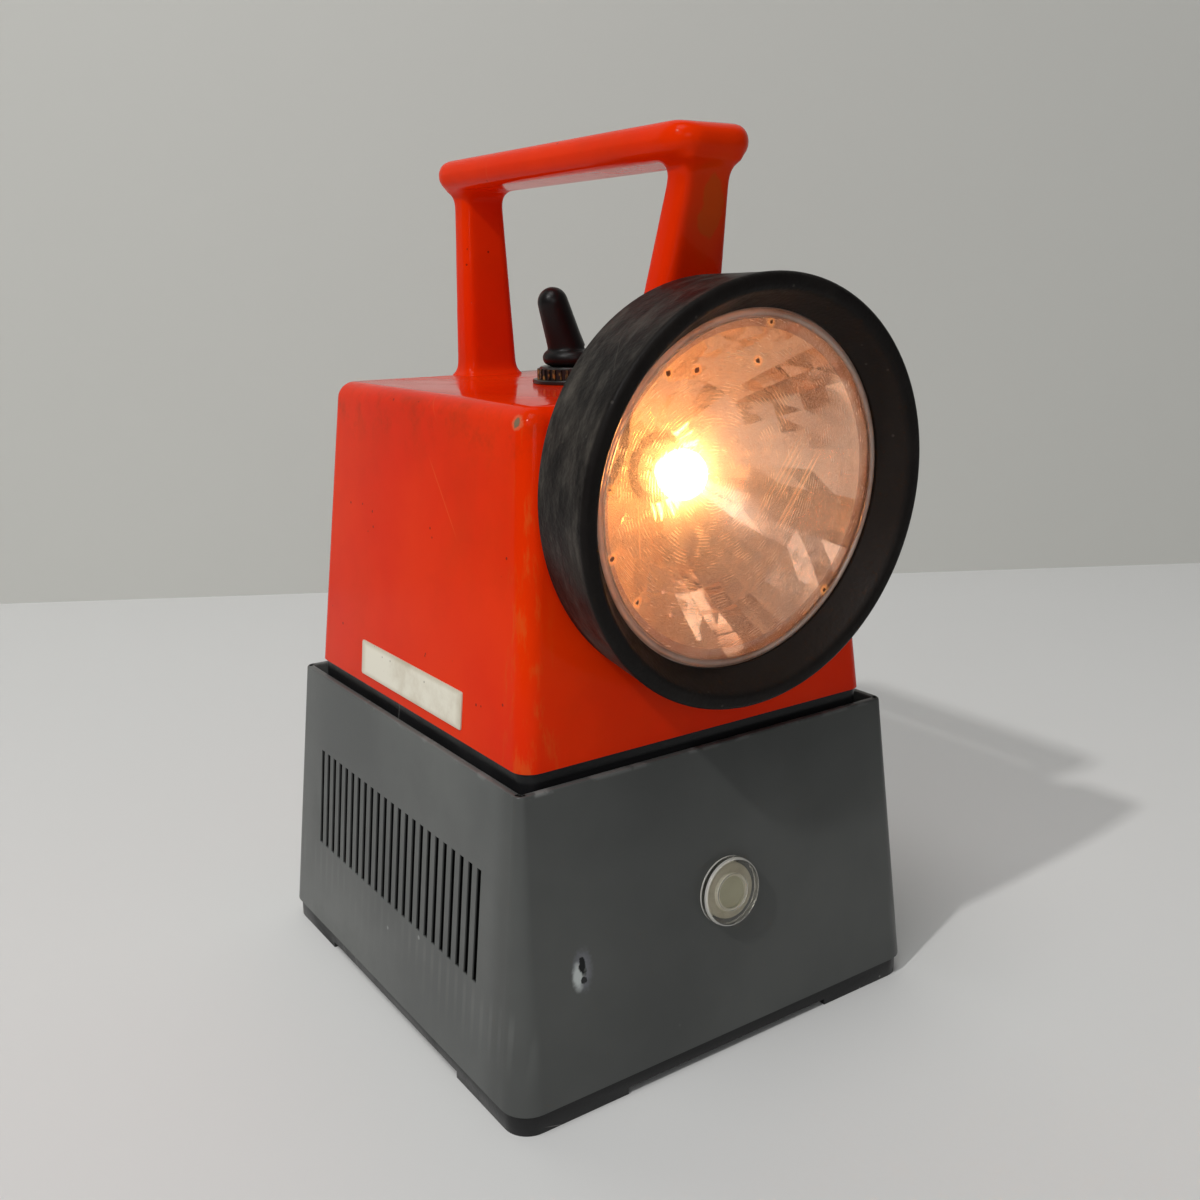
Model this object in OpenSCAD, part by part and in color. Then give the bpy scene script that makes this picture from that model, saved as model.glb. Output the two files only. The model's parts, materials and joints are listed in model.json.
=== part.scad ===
// Portable emergency hand lamp standing in its mains charging base.
// Millimetres, +Z up, the lamp head faces -Y, the feet stand on Z = 0 and the
// origin is under the middle of the whole footprint.

/* [Charging base] */
// Height of the rim above the table
rim_z = 95.3; // [88:0.1:105]
// How far the grey shell flares out from rim to bottom edge, each side
base_flare = 8.6; // [5:0.1:12]
// Wall thickness of the grey shell
shell_wall = 2.4; // [1.8:0.1:3]
// Corner radius of the shell at its bottom edge
shell_r_low = 8.5; // [5:0.5:12]
// Corner radius of the shell at its rim
shell_r_high = 2.6; // [1.6:0.1:4]
// Gap between the lamp's base cover and the inside of the rim
lamp_gap = 2.4; // [1.6:0.1:4]
// Depth of the recess that the lamp stands in
recess_depth = 21; // [17:0.5:25]
// Height of the black base plate with its feet
plate_h = 6.5; // [5.5:0.1:9]
// How far the base plate stands back under the shell's bottom edge
plate_inset = 1; // [0.5:0.1:2]
// Length of a corner foot along the front edge
foot_w = 36.5; // [26:0.5:45]
// Length of a corner foot along the side edge
foot_d = 35.5; // [26:0.5:45]
// Height of the gap under the plate between the feet
foot_gap = 2; // [1:0.1:3]
// Height of the plate's upstand inside the shell
upstand_h = 5; // [3:0.5:8]

/* [Vent slots] */
// Number of slots in each side wall
vent_count = 23; // [9:1:23]
// Distance from slot to slot
vent_pitch = 5; // [4:0.1:5.2]
// Width of a slot
vent_w = 2.3; // [1.5:0.1:3]
// Length of a slot
vent_h = 33.4; // [20:0.2:35]
// Height of the slots' lower ends
vent_z = 35.7; // [30:0.1:38]

/* [Indicator] */
// Height of the indicator's centre
indicator_z = 50.9; // [46:0.1:54]
// Radius of the clear cap's flange
indicator_r = 10.3; // [9.4:0.1:12]
// Radius of the raised window
indicator_window_r = 6.4; // [5:0.1:7]
// How far the cap stands proud of the wall
indicator_h = 3.7; // [2.5:0.1:6]
// Radius of the cap's sleeve through the wall
indicator_sleeve_r = 8; // [7.2:0.1:8.6]

/* [Cable entry] */
// Position of the gland across the rear wall
gland_x = 40; // [30:1:45]
// Height of the gland
gland_z = 40; // [36:0.5:46]
// Radius of the hole for the cable
cable_r = 3.5; // [2.5:0.1:4.5]
// Radius of the gland's sleeve
gland_sleeve_r = 7; // [6:0.1:8]
// Length of the gland's sleeve inside the wall
gland_len = 12; // [9:0.5:16]
// Thickness of the gland's outer flange
gland_flange = 1.6; // [1:0.1:2]

/* [Charger parts] */
// Width of the transformer's lamination stack
core_w = 54; // [48:1:60]
// Height of the lamination stack
core_h = 45; // [40:1:48]
// Thickness of the lamination stack
core_t = 24; // [18:1:28]
// Width of the stack's outer limbs and yokes
limb_w = 9; // [7:0.5:10]
// Overhang of the winding beyond the stack
coil_over = 8; // [5:0.5:10]
// Thickness of the clamp strap
strap_t = 1; // [0.6:0.1:1.6]
// Width of the charger's circuit board
board_w = 60; // [52:1:62]
// Depth of the charger's circuit board
board_d = 46; // [42:1:50]
// Thickness of both circuit boards
board_t = 1.6; // [1:0.1:2.4]
// Height of the pillars under the charger's board
pillar_h = 9; // [6:0.5:14]
// Radius of the smoothing capacitor
cap_r = 8; // [6:0.5:9]
// Height of the smoothing capacitor
cap_h = 24; // [16:1:30]

/* [Charging contacts] */
// Distance of each contact from the middle
contact_x = 24; // [20:1:28]
// Radius of a contact plunger
plunger_r = 3; // [2.2:0.1:3.6]
// How far a plunger stands out of the cradle floor
plunger_out = 1.5; // [1:0.1:2]
// Radius of the spring chamber
chamber_r = 5.2; // [4.8:0.1:6]
// Length of a contact spring
spring_len = 7; // [6:0.5:9]
// Wire radius of a contact spring
spring_wire_r = 0.4; // [0.3:0.05:0.4]
// Turns of a contact spring
spring_turns = 5; // [4:1:5]

/* [Lamp housing] */
// Width of the housing at its lower edge
lamp_w_low = 126.4; // [120:0.2:140]
// Depth of the housing at its lower edge
lamp_d_low = 137.9; // [132:0.2:150]
// Width of the housing at its top
lamp_w_top = 108.5; // [100:0.5:116]
// Depth of the housing at its top
lamp_d_top = 123.3; // [118:0.5:128]
// Height of the housing
lamp_h = 95; // [88:0.5:105]
// Wall thickness of the housing
lamp_wall = 2.6; // [2:0.1:3.2]
// Radius of the housing's upright corners
lamp_r = 5.7; // [5.3:0.1:9]
// Radius of the rounding round the top
lamp_top_r = 5; // [3.5:0.1:5.2]
// How much of the base cover shows below the housing
cover_show = 3.45; // [2:0.05:6]
// How far the base cover stands back under the housing
cover_inset = 0.8; // [0.4:0.1:1.6]
// Wall thickness of the base cover
cover_wall = 2.4; // [1.8:0.1:3]

/* [Lamp head] */
// Drop of the head's centre below the lamp top
head_drop = 25.3; // [22:0.1:28]
// Reach of the bezel's front in front of the lamp top
head_reach = 30.45; // [28:0.05:33]
// Downward tilt of the head
head_tilt = 4; // [3:0.1:5]
// Outer radius of the bezel's front
bezel_r = 58; // [57:0.1:60]
// Outer radius of the bezel at its rear edge
bezel_rear_r = 56; // [55.5:0.1:57]
// Inner radius of the bezel's flat front ring
bezel_flat_r = 53.5; // [52:0.1:55]
// Rounding of the bezel's front edge
bezel_edge_r = 1.6; // [0.8:0.1:2]
// Radius of the lens that shows inside the bezel
lens_view_r = 48.6; // [47.9:0.1:50]
// Depth of the bezel's inner cone
lens_set = 7.7; // [6:0.1:10]
// Thickness of the bezel's lip over the lens
lip_t = 1.5; // [1:0.1:2.5]
// Radius of the lens and of the ring that it seats on
lens_r = 52.6; // [52:0.1:53.2]
// Thickness of the lens
lens_t = 2.6; // [2:0.1:4]
// Crown of the lens
lens_crown = 2; // [0.5:0.1:3]
// Thickness of the gasket behind the lens
gasket_t = 1.2; // [0.8:0.1:2]
// Inner radius of the reflector's rim
reflector_r = 47.3; // [46:0.1:47.5]
// Focal length of the reflector
focal = 14.2; // [12:0.1:16]
// Thickness of the reflector
reflector_t = 1.2; // [0.8:0.1:1.6]
// Facets round the reflector
facets_round = 40; // [24:1:48]
// Rows of facets from the bulb to the rim
facet_rows = 5; // [4:1:9]
// Radius of the hole for the bulb
reflector_hole_r = 11; // [10:0.1:13]
// Radius of the bulb's glass
bulb_r = 7.5; // [6:0.1:8.5]
// Radius of the bulb's brass cap
bulb_cap_r = 4.6; // [4:0.1:5.5]

/* [Carrying handle] */
// Height of the bar's upper side above the lamp top
handle_h = 70.4; // [62:0.1:85]
// Width of the bar
bar_w = 27; // [26:0.1:32]
// Thickness of the bar
bar_t = 9.7; // [8:0.1:12]
// Reach of the bar in front of the lamp top
bar_front = 10.4; // [8:0.1:12]
// Reach of the bar behind the lamp top
bar_rear = 3; // [1:0.1:6]
// Rounding of the bar's ends
bar_end_r = 6; // [4:0.1:8]
// Width of the front leg at its foot
front_leg_w = 25.8; // [22:0.1:27]
// Thickness of the front leg at its foot
front_leg_t = 13.5; // [10:0.1:16]
// Distance of the front leg's foot behind the lamp top's front edge
front_leg_in = 12.4; // [11.5:0.1:13.5]
// Width of the rear leg at its foot
rear_leg_w = 20; // [17:0.1:26]
// Thickness of the rear leg at its foot
rear_leg_t = 11.2; // [9:0.1:14]
// Distance of the rear leg's foot from the lamp top's rear edge
rear_leg_in = 7.5; // [6:0.1:12]
// Width of both legs under the bar
leg_top_w = 15; // [12:0.1:18]
// Thickness of both legs under the bar
leg_top_t = 9.4; // [7:0.1:12]
// Corner radius of the legs
leg_r = 3.3; // [2:0.1:4]
// Flare of the legs where they meet the bar
leg_flare = 2.6; // [1:0.1:4]
// Fillet of the rear leg's foot on the lamp top
leg_toe = 2; // [1:0.1:3]

/* [Toggle switch] */
// Lean of the lever to each side
lever_lean = 18.5; // [12:0.5:20]
// Height of the lever's pivot above the lamp top
pivot_h = 4.8; // [4.4:0.1:5]
// Length of the rubber finger's tip from the pivot
finger_len = 25.6; // [20:0.1:30]
// Radius of the finger at its root
finger_r = 5.4; // [5:0.1:6]
// Radius of the finger at its round tip
finger_tip_r = 4.7; // [4:0.1:5]
// Radius of the lever inside the finger
lever_r = 2.6; // [2:0.1:3]
// Radius of the lever's ball
ball_r = 4.3; // [4.2:0.05:4.4]
// Radius of the boot's round collar
collar_r = 9.2; // [8.5:0.1:10]
// Height of the collar
collar_h = 5; // [4:0.1:5.4]
// Radius of the knurled nut
nut_r = 11.1; // [10:0.1:12]
// Radius of the nut's bottom flange
nut_flange_r = 12.5; // [12.2:0.1:14]
// Height of the knurled nut
nut_h = 5.2; // [5:0.1:6]
// Ridges of the knurl
knurl_count = 32; // [20:1:40]
// Depth of the knurl
knurl_depth = 0.7; // [0.3:0.1:1]
// Outer radius of the switch's threaded bushing
bushing_r = 6; // [5.8:0.1:6.5]
// Width of the switch body along its throw
switch_w = 20; // [18:0.5:26]
// Depth of the switch body across its throw
switch_d = 13; // [12:0.5:15]
// Height of the switch body
switch_h = 20; // [16:0.5:24]

/* [Lamp parts] */
// Width of the battery
battery_w = 70; // [60:1:76]
// Depth of the battery
battery_d = 46; // [40:1:47]
// Height of the battery
battery_h = 98; // [80:1:100]
// Thickness of the pad under the battery
pad_t = 2; // [1:0.1:3]
// Gap behind the battery
battery_gap = 2; // [1:0.1:3]
// Least gap over the battery's tabs
battery_room = 4; // [2:0.5:8]
// Width of the control board
control_w = 84; // [70:1:90]
// Depth of the control board
control_d = 52; // [44:1:54]

/* [Clearances] */
// Gap between moulded parts that slip into each other
fit_gap = 0.4; // [0.3:0.05:0.6]
// Gap between faces that seat on each other
seat_gap = 0.05; // [0.02:0.01:0.1]
// Gap between the lamp's feet and the cradle floor
rest_gap = 0.3; // [0.25:0.05:0.4]
// Running clearance of plungers and lever
run_gap = 0.06; // [0.03:0.01:0.1]
// Gap between the bezel's rear edge and the housing
bezel_gap = 0.5; // [0.4:0.1:1]
// Gap between the moving finger and the collar
boot_gap = 0.4; // [0.35:0.05:0.6]

/* [Hidden] */
$fn = 64;
bite = 1;
corner_steps = 5;
fillet_steps = 5;
screw_r = 1.5;
screw_hole_r = screw_r + seat_gap;
screw_head_r = 3;
screw_head_h = 2;
post_screw_bite = 12;
cradle_screw_len = 8;
board_screw_len = 6;
counter_r = screw_head_r + fit_gap;

// Lamp and charger widths follow each other through the recess
cover_w = lamp_w_low - 2 * cover_inset;
cover_d = lamp_d_low - 2 * cover_inset;
rim_w = cover_w + 2 * (lamp_gap + shell_wall);
rim_d = cover_d + 2 * (lamp_gap + shell_wall);
base_w = rim_w + 2 * base_flare;
base_d = rim_d + 2 * base_flare;
wall_lean = atan(base_flare / (rim_z - plate_h));

// Heights
cradle_t = 2.2;
cradle_top = rim_z - recess_depth;
cradle_z = cradle_top - cradle_t;
cradle_lip = 8;
cover_foot = plunger_out;
cover_z = cradle_top + rest_gap + cover_foot;
cover_floor = 2.5;
lamp_z0 = rim_z + cover_show;

// The housing is as tall as asked for, or as its battery needs
tab_w = 6.3;
tab_t = 0.8;
tab_h = 6;
tab_in = 10;
tab_hole_r = 0.8;
tab_hole_in = 2;
battery_z = cover_z + cover_floor + pad_t;
battery_top = battery_z + battery_h + 2 * seat_gap + tab_h;
body_h = max(lamp_h, battery_top + battery_room + lamp_wall - lamp_z0);
lamp_z1 = lamp_z0 + body_h;
bar_z1 = lamp_z1 + handle_h;
bar_z0 = bar_z1 - bar_t;

// Head, measured along its axis from the bezel's front plane
head_y = -(lamp_d_top / 2 + head_reach);
head_z = lamp_z1 - head_drop;
lens_s = lens_set + lip_t + seat_gap;
gasket_s = lens_s + lens_t + seat_gap;
flange_s = gasket_s + gasket_t + seat_gap;
bowl_s = flange_s + reflector_t + seat_gap;
apex_s = flange_s + reflector_r * reflector_r / (4 * focal);
bulb_s = apex_s - focal;
bowl_gap = 1.5;
bowl_wall = 2.4;
bowl_r = lens_r + fit_gap;
bowl_collar = 11;
bowl_in = reflector_t + bowl_gap;
bezel_rear_y = -lamp_depth(head_z - bezel_r) / 2 - bezel_gap;
holder_r = reflector_hole_r * cos(180 / facets_round) - fit_gap;

// Origin under the middle of the whole footprint
front_reach = -head_y + (bezel_r - bezel_edge_r) * sin(head_tilt)
            + bezel_edge_r * (1 - cos(head_tilt));
frame_y = (front_reach - base_d / 2) / 2;

// Corner posts in the shell: lower ones take the base plate, upper ones the cradle
post_r = 5;
post_h = 24;
post_x = shell_width(plate_h + post_h) / 2 - shell_wall / 2 - post_r;
post_y = shell_depth(plate_h + post_h) / 2 - shell_wall / 2 - post_r;
bracket_edge = 1.5;
bracket_in = shell_wall + fit_gap + cradle_t + screw_head_r + bracket_edge;
bracket_r = bracket_in - shell_wall / 2;
bracket_h = 12;
bracket_x = shell_width(cradle_z) / 2 - bracket_in;
bracket_y = shell_depth(cradle_z) / 2 - bracket_in;
flat_head_h = 1.2;

// Corner posts in the lamp housing, which take the base cover
lamp_post_r = 5;
lamp_post_h = 20;
lamp_post_z = lamp_z0 + lamp_post_h;
lamp_post_x = lamp_width(lamp_post_z) / 2 - lamp_wall / 2 - lamp_post_r;
lamp_post_y = lamp_depth(lamp_post_z) / 2 - lamp_wall / 2 - lamp_post_r;
spigot_h = 5;
spigot_t = 2;

// Inner layout of the base
core_x = -30;
core_y = 30;
board_x = 30;
board_y = -32;
board_z = plate_h + pillar_h;
pillar_r = 3;
pillar_in = 4;
terminal_w = 28;
terminal_d = 14;
terminal_h = 13;
terminal_y = 48;

// Contact plunger, measured down from the cradle floor's upper side
guide_len = 6.5;
guide_wall = 1.8;
collar_t = 2;
tail_r = 2;
plunger_top = cradle_top + plunger_out;
shoulder_z = cradle_top - guide_len;
plunger_collar_z = shoulder_z - rest_gap - collar_t;
chamber_z = plunger_collar_z - spring_len;
contact_cap_t = 2;
plug_t = 2;
pad_r = 7;
pad_disc_t = 1.2;
stud_r = 2;
stud_len = 5;
stud_nut_r = 4;
stud_nut_h = 2.5;
spring_r = chamber_r - fit_gap - 2 * spring_wire_r;

// Inner layout of the lamp
battery_y = lamp_depth(battery_z + battery_h) / 2 - lamp_wall - battery_gap - battery_d / 2;
pocket_t = 2;
pocket_h = 10;
control_gap = 3;
control_y = battery_y - battery_d / 2 - fit_gap - pocket_t - control_gap - control_d / 2;
control_z = cover_z + cover_floor + pillar_h;
battery_lid_h = 6;
battery_lid_in = 0.8;
battery_r = 2;
relay_w = 28;
relay_d = 16;
relay_h = 20;
relay_r = 1.5;
relay_x = 12;

// Toggle switch, heights above the lamp top unless said
bushing_top = nut_h - seat_gap;
bore_r = ball_r + run_gap;
lock_h = 3;
lock_r = 9;
switch_z = lamp_z1 - lamp_wall - seat_gap - lock_h;
collar_top = nut_h + seat_gap + collar_h;
collar_bore = (collar_top - pivot_h) * tan(lever_lean) + lever_r / cos(lever_lean) + boot_gap;
finger_start = (collar_top - pivot_h + boot_gap + finger_r * sin(lever_lean)) / cos(lever_lean);
lever_len = finger_len - finger_tip_r;
lever_tail = 6;
tail_tip_r = 1.8;
lug_w = 4;
lug_t = 0.8;
lug_h = 8;
lug_hole_r = 0.9;
lug_hole_in = 2;

echo(frame_y = frame_y, pivot_z = lamp_z1 + pivot_h, chamber_z = chamber_z);
echo(base_w = base_w, base_d = base_d, bar_z1 = bar_z1, front = frame_y - front_reach);
echo(spring_gap = (spring_len - 2 * spring_wire_r) / spring_turns - 2 * spring_wire_r);

// Helpers

function mix(a, b, t) = a + (b - a) * t;

// Outer sizes of the shell and of the housing at a height
function shell_at(z) = (z - plate_h) / (rim_z - plate_h);
function shell_width(z) = mix(base_w, rim_w, shell_at(z));
function shell_depth(z) = mix(base_d, rim_d, shell_at(z));
function shell_radius(z) = mix(shell_r_low, shell_r_high, shell_at(z));
function lamp_at(z) = (z - lamp_z0) / body_h;
function lamp_width(z) = mix(lamp_w_low, lamp_w_top, lamp_at(z));
function lamp_depth(z) = mix(lamp_d_low, lamp_d_top, lamp_at(z));

// A loft section is [height, width, depth, corner radius, shift in Y]
function shell_section(z, inset) =
    [z, shell_width(z) - 2 * inset, shell_depth(z) - 2 * inset,
     max(shell_radius(z) - inset, 0.8), 0];
function lamp_section(z, inset) =
    [z, lamp_width(z) - 2 * inset, lamp_depth(z) - 2 * inset, max(lamp_r - inset, 0.6), 0];

function corner(cx, cy, r, start) =
    [for (i = [0 : corner_steps])
        let (a = start + 90 * i / corner_steps)
        [cx + r * cos(a), cy + r * sin(a)]];
function outline(w, d, r) = concat(
    corner(w / 2 - r, r - d / 2, r, -90),
    corner(w / 2 - r, d / 2 - r, r, 0),
    corner(r - w / 2, d / 2 - r, r, 90),
    corner(r - w / 2, r - d / 2, r, 180));

// Solid through a stack of rounded rectangles
module loft(sections) {
    rings = [for (s = sections) outline(s[1], s[2], s[3])];
    n = len(rings[0]);
    m = len(sections);
    points = [for (k = [0 : m - 1]) for (p = rings[k]) [p[0], p[1] + sections[k][4], sections[k][0]]];
    sides = [for (k = [0 : m - 2]) for (i = [0 : n - 1])
        let (j = (i + 1) % n)
        [k * n + i, (k + 1) * n + i, (k + 1) * n + j, k * n + j]];
    low = [for (i = [0 : n - 1]) i];
    high = [for (i = [0 : n - 1]) m * n - 1 - i];
    polyhedron(points, concat([low, high], sides), convexity = 8);
}

// Rounded rectangle made of arcs and straight lines
module plate_2d(w, d, r) {
    square([w - 2 * r, d], center = true);
    square([w, d - 2 * r], center = true);
    corners(w / 2 - r, d / 2 - r)
        circle(r);
}

module corners(x, y) {
    for (sx = [-1, 1], sy = [-1, 1])
        translate([sx * x, sy * y])
            children();
}

module pair(x) {
    for (sx = [-1, 1])
        translate([sx * x, 0])
            children();
}

module placed() {
    translate([0, frame_y, 0])
        children();
}

// Local +Z points out of the sloping front or rear wall
module on_front_wall(x, z) {
    translate([x, -shell_depth(z) / 2, z])
        rotate([90 - wall_lean, 0, 0])
            children();
}

module on_rear_wall(x, z) {
    translate([x, shell_depth(z) / 2, z])
        rotate([wall_lean - 90, 0, 0])
            children();
}

// Local +Z runs back along the head's axis from the bezel's front plane
module on_head() {
    translate([0, head_y, head_z])
        rotate([head_tilt - 90, 0, 0])
            children();
}

// Local +Z runs up the lever from its pivot, at the rest stop
module on_lever() {
    translate([0, 0, lamp_z1 + pivot_h])
        rotate([0, -lever_lean, 0])
            children();
}

// Cheese-head screw, head above and shank below its own zero
module screw(length, head_h = screw_head_h) {
    cylinder(r = screw_head_r, h = head_h);
    translate([0, 0, -length])
        cylinder(r = screw_r, h = length + bite / 2);
}

module hexagon(r, h) {
    cylinder(r = r, h = h, $fn = 6);
}

module ring(r_out, r_in, h) {
    difference() {
        cylinder(r = r_out, h = h);
        translate([0, 0, -bite])
            cylinder(r = r_in, h = h + 2 * bite);
    }
}

// Charging base

module shell_form(inset, z_low, z_high) {
    loft([shell_section(z_low, inset), shell_section(z_high, inset)]);
}

module charger_shell() {
    rim_round = shell_wall / 4;
    placed() color("dimgray") {
        difference() {
            loft([shell_section(plate_h, 0), shell_section(rim_z - rim_round, 0),
                  shell_section(rim_z, rim_round)]);
            shell_form(shell_wall, plate_h - bite, rim_z + bite);
            for (i = [0 : vent_count - 1])
                translate([-base_w, (i - (vent_count - 1) / 2) * vent_pitch - vent_w / 2, vent_z])
                    cube([2 * base_w, vent_w, vent_h]);
            on_front_wall(0, indicator_z)
                translate([0, 0, -2 * shell_wall])
                    cylinder(r = indicator_sleeve_r + seat_gap, h = 4 * shell_wall);
            on_rear_wall(gland_x, gland_z)
                translate([0, 0, -2 * shell_wall])
                    cylinder(r = gland_sleeve_r + seat_gap, h = 4 * shell_wall);
        }
        shell_posts();
    }
}

module shell_posts() {
    difference() {
        union() {
            corners(post_x, post_y)
                translate([0, 0, plate_h + seat_gap])
                    cylinder(r = post_r, h = post_h);
            corners(bracket_x, bracket_y)
                translate([0, 0, cradle_z - seat_gap - bracket_h])
                    cylinder(r = bracket_r, h = bracket_h);
        }
        corners(post_x, post_y)
            translate([0, 0, plate_h - bite])
                cylinder(r = screw_hole_r, h = post_h);
        corners(bracket_x, bracket_y)
            translate([0, 0, cradle_z - bracket_h + 2])
                cylinder(r = screw_hole_r, h = bracket_h);
    }
}

module base_plate() {
    plate_w = base_w - 2 * plate_inset;
    plate_d = base_d - 2 * plate_inset;
    upstand_z = plate_h + upstand_h;
    up_w = shell_width(upstand_z) - 2 * (shell_wall + fit_gap);
    up_d = shell_depth(upstand_z) - 2 * (shell_wall + fit_gap);
    up_r = shell_r_low - shell_wall;
    placed() color([0.09, 0.09, 0.1])
        difference() {
            union() {
                linear_extrude(plate_h)
                    plate_2d(plate_w, plate_d, shell_r_low - plate_inset);
                difference() {
                    translate([0, 0, plate_h - bite])
                        linear_extrude(upstand_h + bite)
                            difference() {
                                plate_2d(up_w, up_d, up_r);
                                plate_2d(up_w - 2 * shell_wall, up_d - 2 * shell_wall, up_r - shell_wall);
                            }
                    corners(post_x, post_y)
                        translate([0, 0, plate_h])
                            cylinder(r = post_r + fit_gap, h = upstand_h + bite);
                }
                translate([board_x, board_y, plate_h - bite])
                    corners(board_w / 2 - pillar_in, board_d / 2 - pillar_in)
                        cylinder(r = pillar_r, h = pillar_h + bite - seat_gap);
            }
            translate([foot_w - plate_w / 2, -base_d, -bite])
                cube([plate_w - 2 * foot_w, 2 * base_d, foot_gap + bite]);
            translate([-base_w, foot_d - plate_d / 2, -bite])
                cube([2 * base_w, plate_d - 2 * foot_d, foot_gap + bite]);
            corners(post_x, post_y) {
                translate([0, 0, -bite])
                    cylinder(r = counter_r, h = bite + plate_h / 2);
                cylinder(r = screw_hole_r, h = plate_h + bite);
            }
            translate([board_x, board_y, plate_h])
                corners(board_w / 2 - pillar_in, board_d / 2 - pillar_in)
                    cylinder(r = screw_hole_r, h = pillar_h + bite);
            translate([core_x, core_y, foot_gap])
                pair(core_w / 2 + strap_t + strap_ear / 2)
                    translate([0, 0, strap_floor])
                        cylinder(r = screw_hole_r, h = plate_h);
        }
}

module base_screws() {
    placed() color("silver")
        corners(post_x, post_y)
            translate([0, 0, plate_h / 2 - seat_gap])
                mirror([0, 0, 1])
                    screw(plate_h / 2 + post_screw_bite);
}

// Tray inside the rim that the lamp stands in, with the contact guides below it
module lamp_cradle() {
    lip_z = cradle_top + cradle_lip;
    outer = shell_wall + fit_gap;
    inner = outer + cradle_t;
    guide_r = chamber_r + guide_wall;
    placed() color([0.07, 0.07, 0.08])
        difference() {
            union() {
                difference() {
                    loft([shell_section(cradle_z, outer), shell_section(lip_z, outer)]);
                    loft([shell_section(cradle_top, inner), shell_section(lip_z + bite, inner)]);
                }
                pair(contact_x)
                    translate([0, 0, chamber_z - plug_t])
                        cylinder(r = guide_r, h = cradle_z - chamber_z + plug_t + bite / 2);
            }
            pair(contact_x) {
                translate([0, 0, shoulder_z - bite])
                    cylinder(r = plunger_r + run_gap, h = guide_len + 2 * bite);
                translate([0, 0, chamber_z - plug_t - bite])
                    cylinder(r = chamber_r, h = shoulder_z - chamber_z + plug_t + bite);
            }
            corners(bracket_x, bracket_y)
                translate([0, 0, cradle_z - bite])
                    cylinder(r = screw_hole_r, h = cradle_t + 2 * bite);
        }
}

module cradle_screws() {
    placed() color("silver")
        corners(bracket_x, bracket_y)
            translate([0, 0, cradle_top + seat_gap])
                screw(cradle_screw_len, flat_head_h);
}

// Stack of E and I laminations with two windows
strap_ear = 9;
strap_floor = 1;
module transformer_core() {
    window_w = (core_w - 4 * limb_w) / 2;
    placed() color([0.42, 0.42, 0.44])
        translate([core_x, core_y, plate_h + seat_gap])
            difference() {
                translate([-core_w / 2, -core_t / 2, 0])
                    cube([core_w, core_t, core_h]);
                pair(limb_w + window_w / 2)
                    translate([-window_w / 2, -core_t, limb_w])
                        cube([window_w, 2 * core_t, core_h - 2 * limb_w]);
            }
}

module transformer_coil() {
    window_w = (core_w - 4 * limb_w) / 2;
    coil_w = 2 * (limb_w + window_w) - 2 * seat_gap;
    coil_d = core_t + 2 * coil_over;
    coil_h = core_h - 2 * limb_w - 2 * seat_gap;
    placed() color([0.72, 0.55, 0.2])
        translate([core_x, core_y, plate_h + 2 * seat_gap + limb_w])
            linear_extrude(coil_h)
                difference() {
                    plate_2d(coil_w, coil_d, coil_over / 2);
                    square([2 * (limb_w + seat_gap), core_t + 2 * seat_gap], center = true);
                }
}

// Folded strap over the stack with two ears on the plate
module transformer_strap() {
    strap_w = core_t * 0.6;
    half = core_w / 2 + seat_gap;
    top = core_h + 2 * seat_gap;
    placed() color("lightgray")
        translate([core_x, core_y, plate_h + seat_gap])
            difference() {
                rotate([90, 0, 0])
                    translate([0, 0, -strap_w / 2])
                        linear_extrude(strap_w)
                            difference() {
                                union() {
                                    translate([-half - strap_t, 0])
                                        square([2 * (half + strap_t), top + strap_t]);
                                    translate([-half - strap_t - strap_ear, 0])
                                        square([2 * (half + strap_t + strap_ear), strap_t]);
                                }
                                translate([-half, -bite])
                                    square([2 * half, top + bite]);
                            }
                pair(core_w / 2 + strap_t + strap_ear / 2)
                    translate([0, 0, -bite])
                        cylinder(r = screw_hole_r, h = strap_t + 2 * bite);
            }
}

module strap_screws() {
    placed() color("silver")
        translate([core_x, core_y, plate_h + strap_t + 2 * seat_gap])
            pair(core_w / 2 + strap_t + strap_ear / 2)
                screw(plate_h - foot_gap - strap_floor);
}

module charger_board() {
    placed() color([0.55, 0.45, 0.2])
        translate([board_x, board_y, board_z])
            difference() {
                linear_extrude(board_t)
                    square([board_w, board_d], center = true);
                corners(board_w / 2 - pillar_in, board_d / 2 - pillar_in)
                    translate([0, 0, -bite])
                        cylinder(r = screw_hole_r, h = board_t + 2 * bite);
            }
}

module board_screws() {
    placed() color("silver")
        translate([board_x, board_y, board_z + board_t + seat_gap])
            corners(board_w / 2 - pillar_in, board_d / 2 - pillar_in)
                screw(board_screw_len);
}

// Places on the charger's board, from its middle
module on_board(x, y) {
    placed()
        translate([board_x + x, board_y + y, board_z + board_t + seat_gap])
            children();
}

rectifier_x = -14;
rectifier_y = 8;
rectifier_w = 16;
rectifier_d = 6;
rectifier_h = 14;
rectifier_hole_r = 1.8;
rectifier_hole_in = 5;
module rectifier() {
    color([0.12, 0.12, 0.13])
        on_board(rectifier_x, rectifier_y)
            difference() {
                translate([-rectifier_w / 2, -rectifier_d / 2, 0])
                    cube([rectifier_w, rectifier_d, rectifier_h]);
                translate([0, 0, rectifier_h - rectifier_hole_in])
                    rotate([90, 0, 0])
                        cylinder(r = rectifier_hole_r, h = 2 * rectifier_d, center = true);
            }
}

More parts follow.
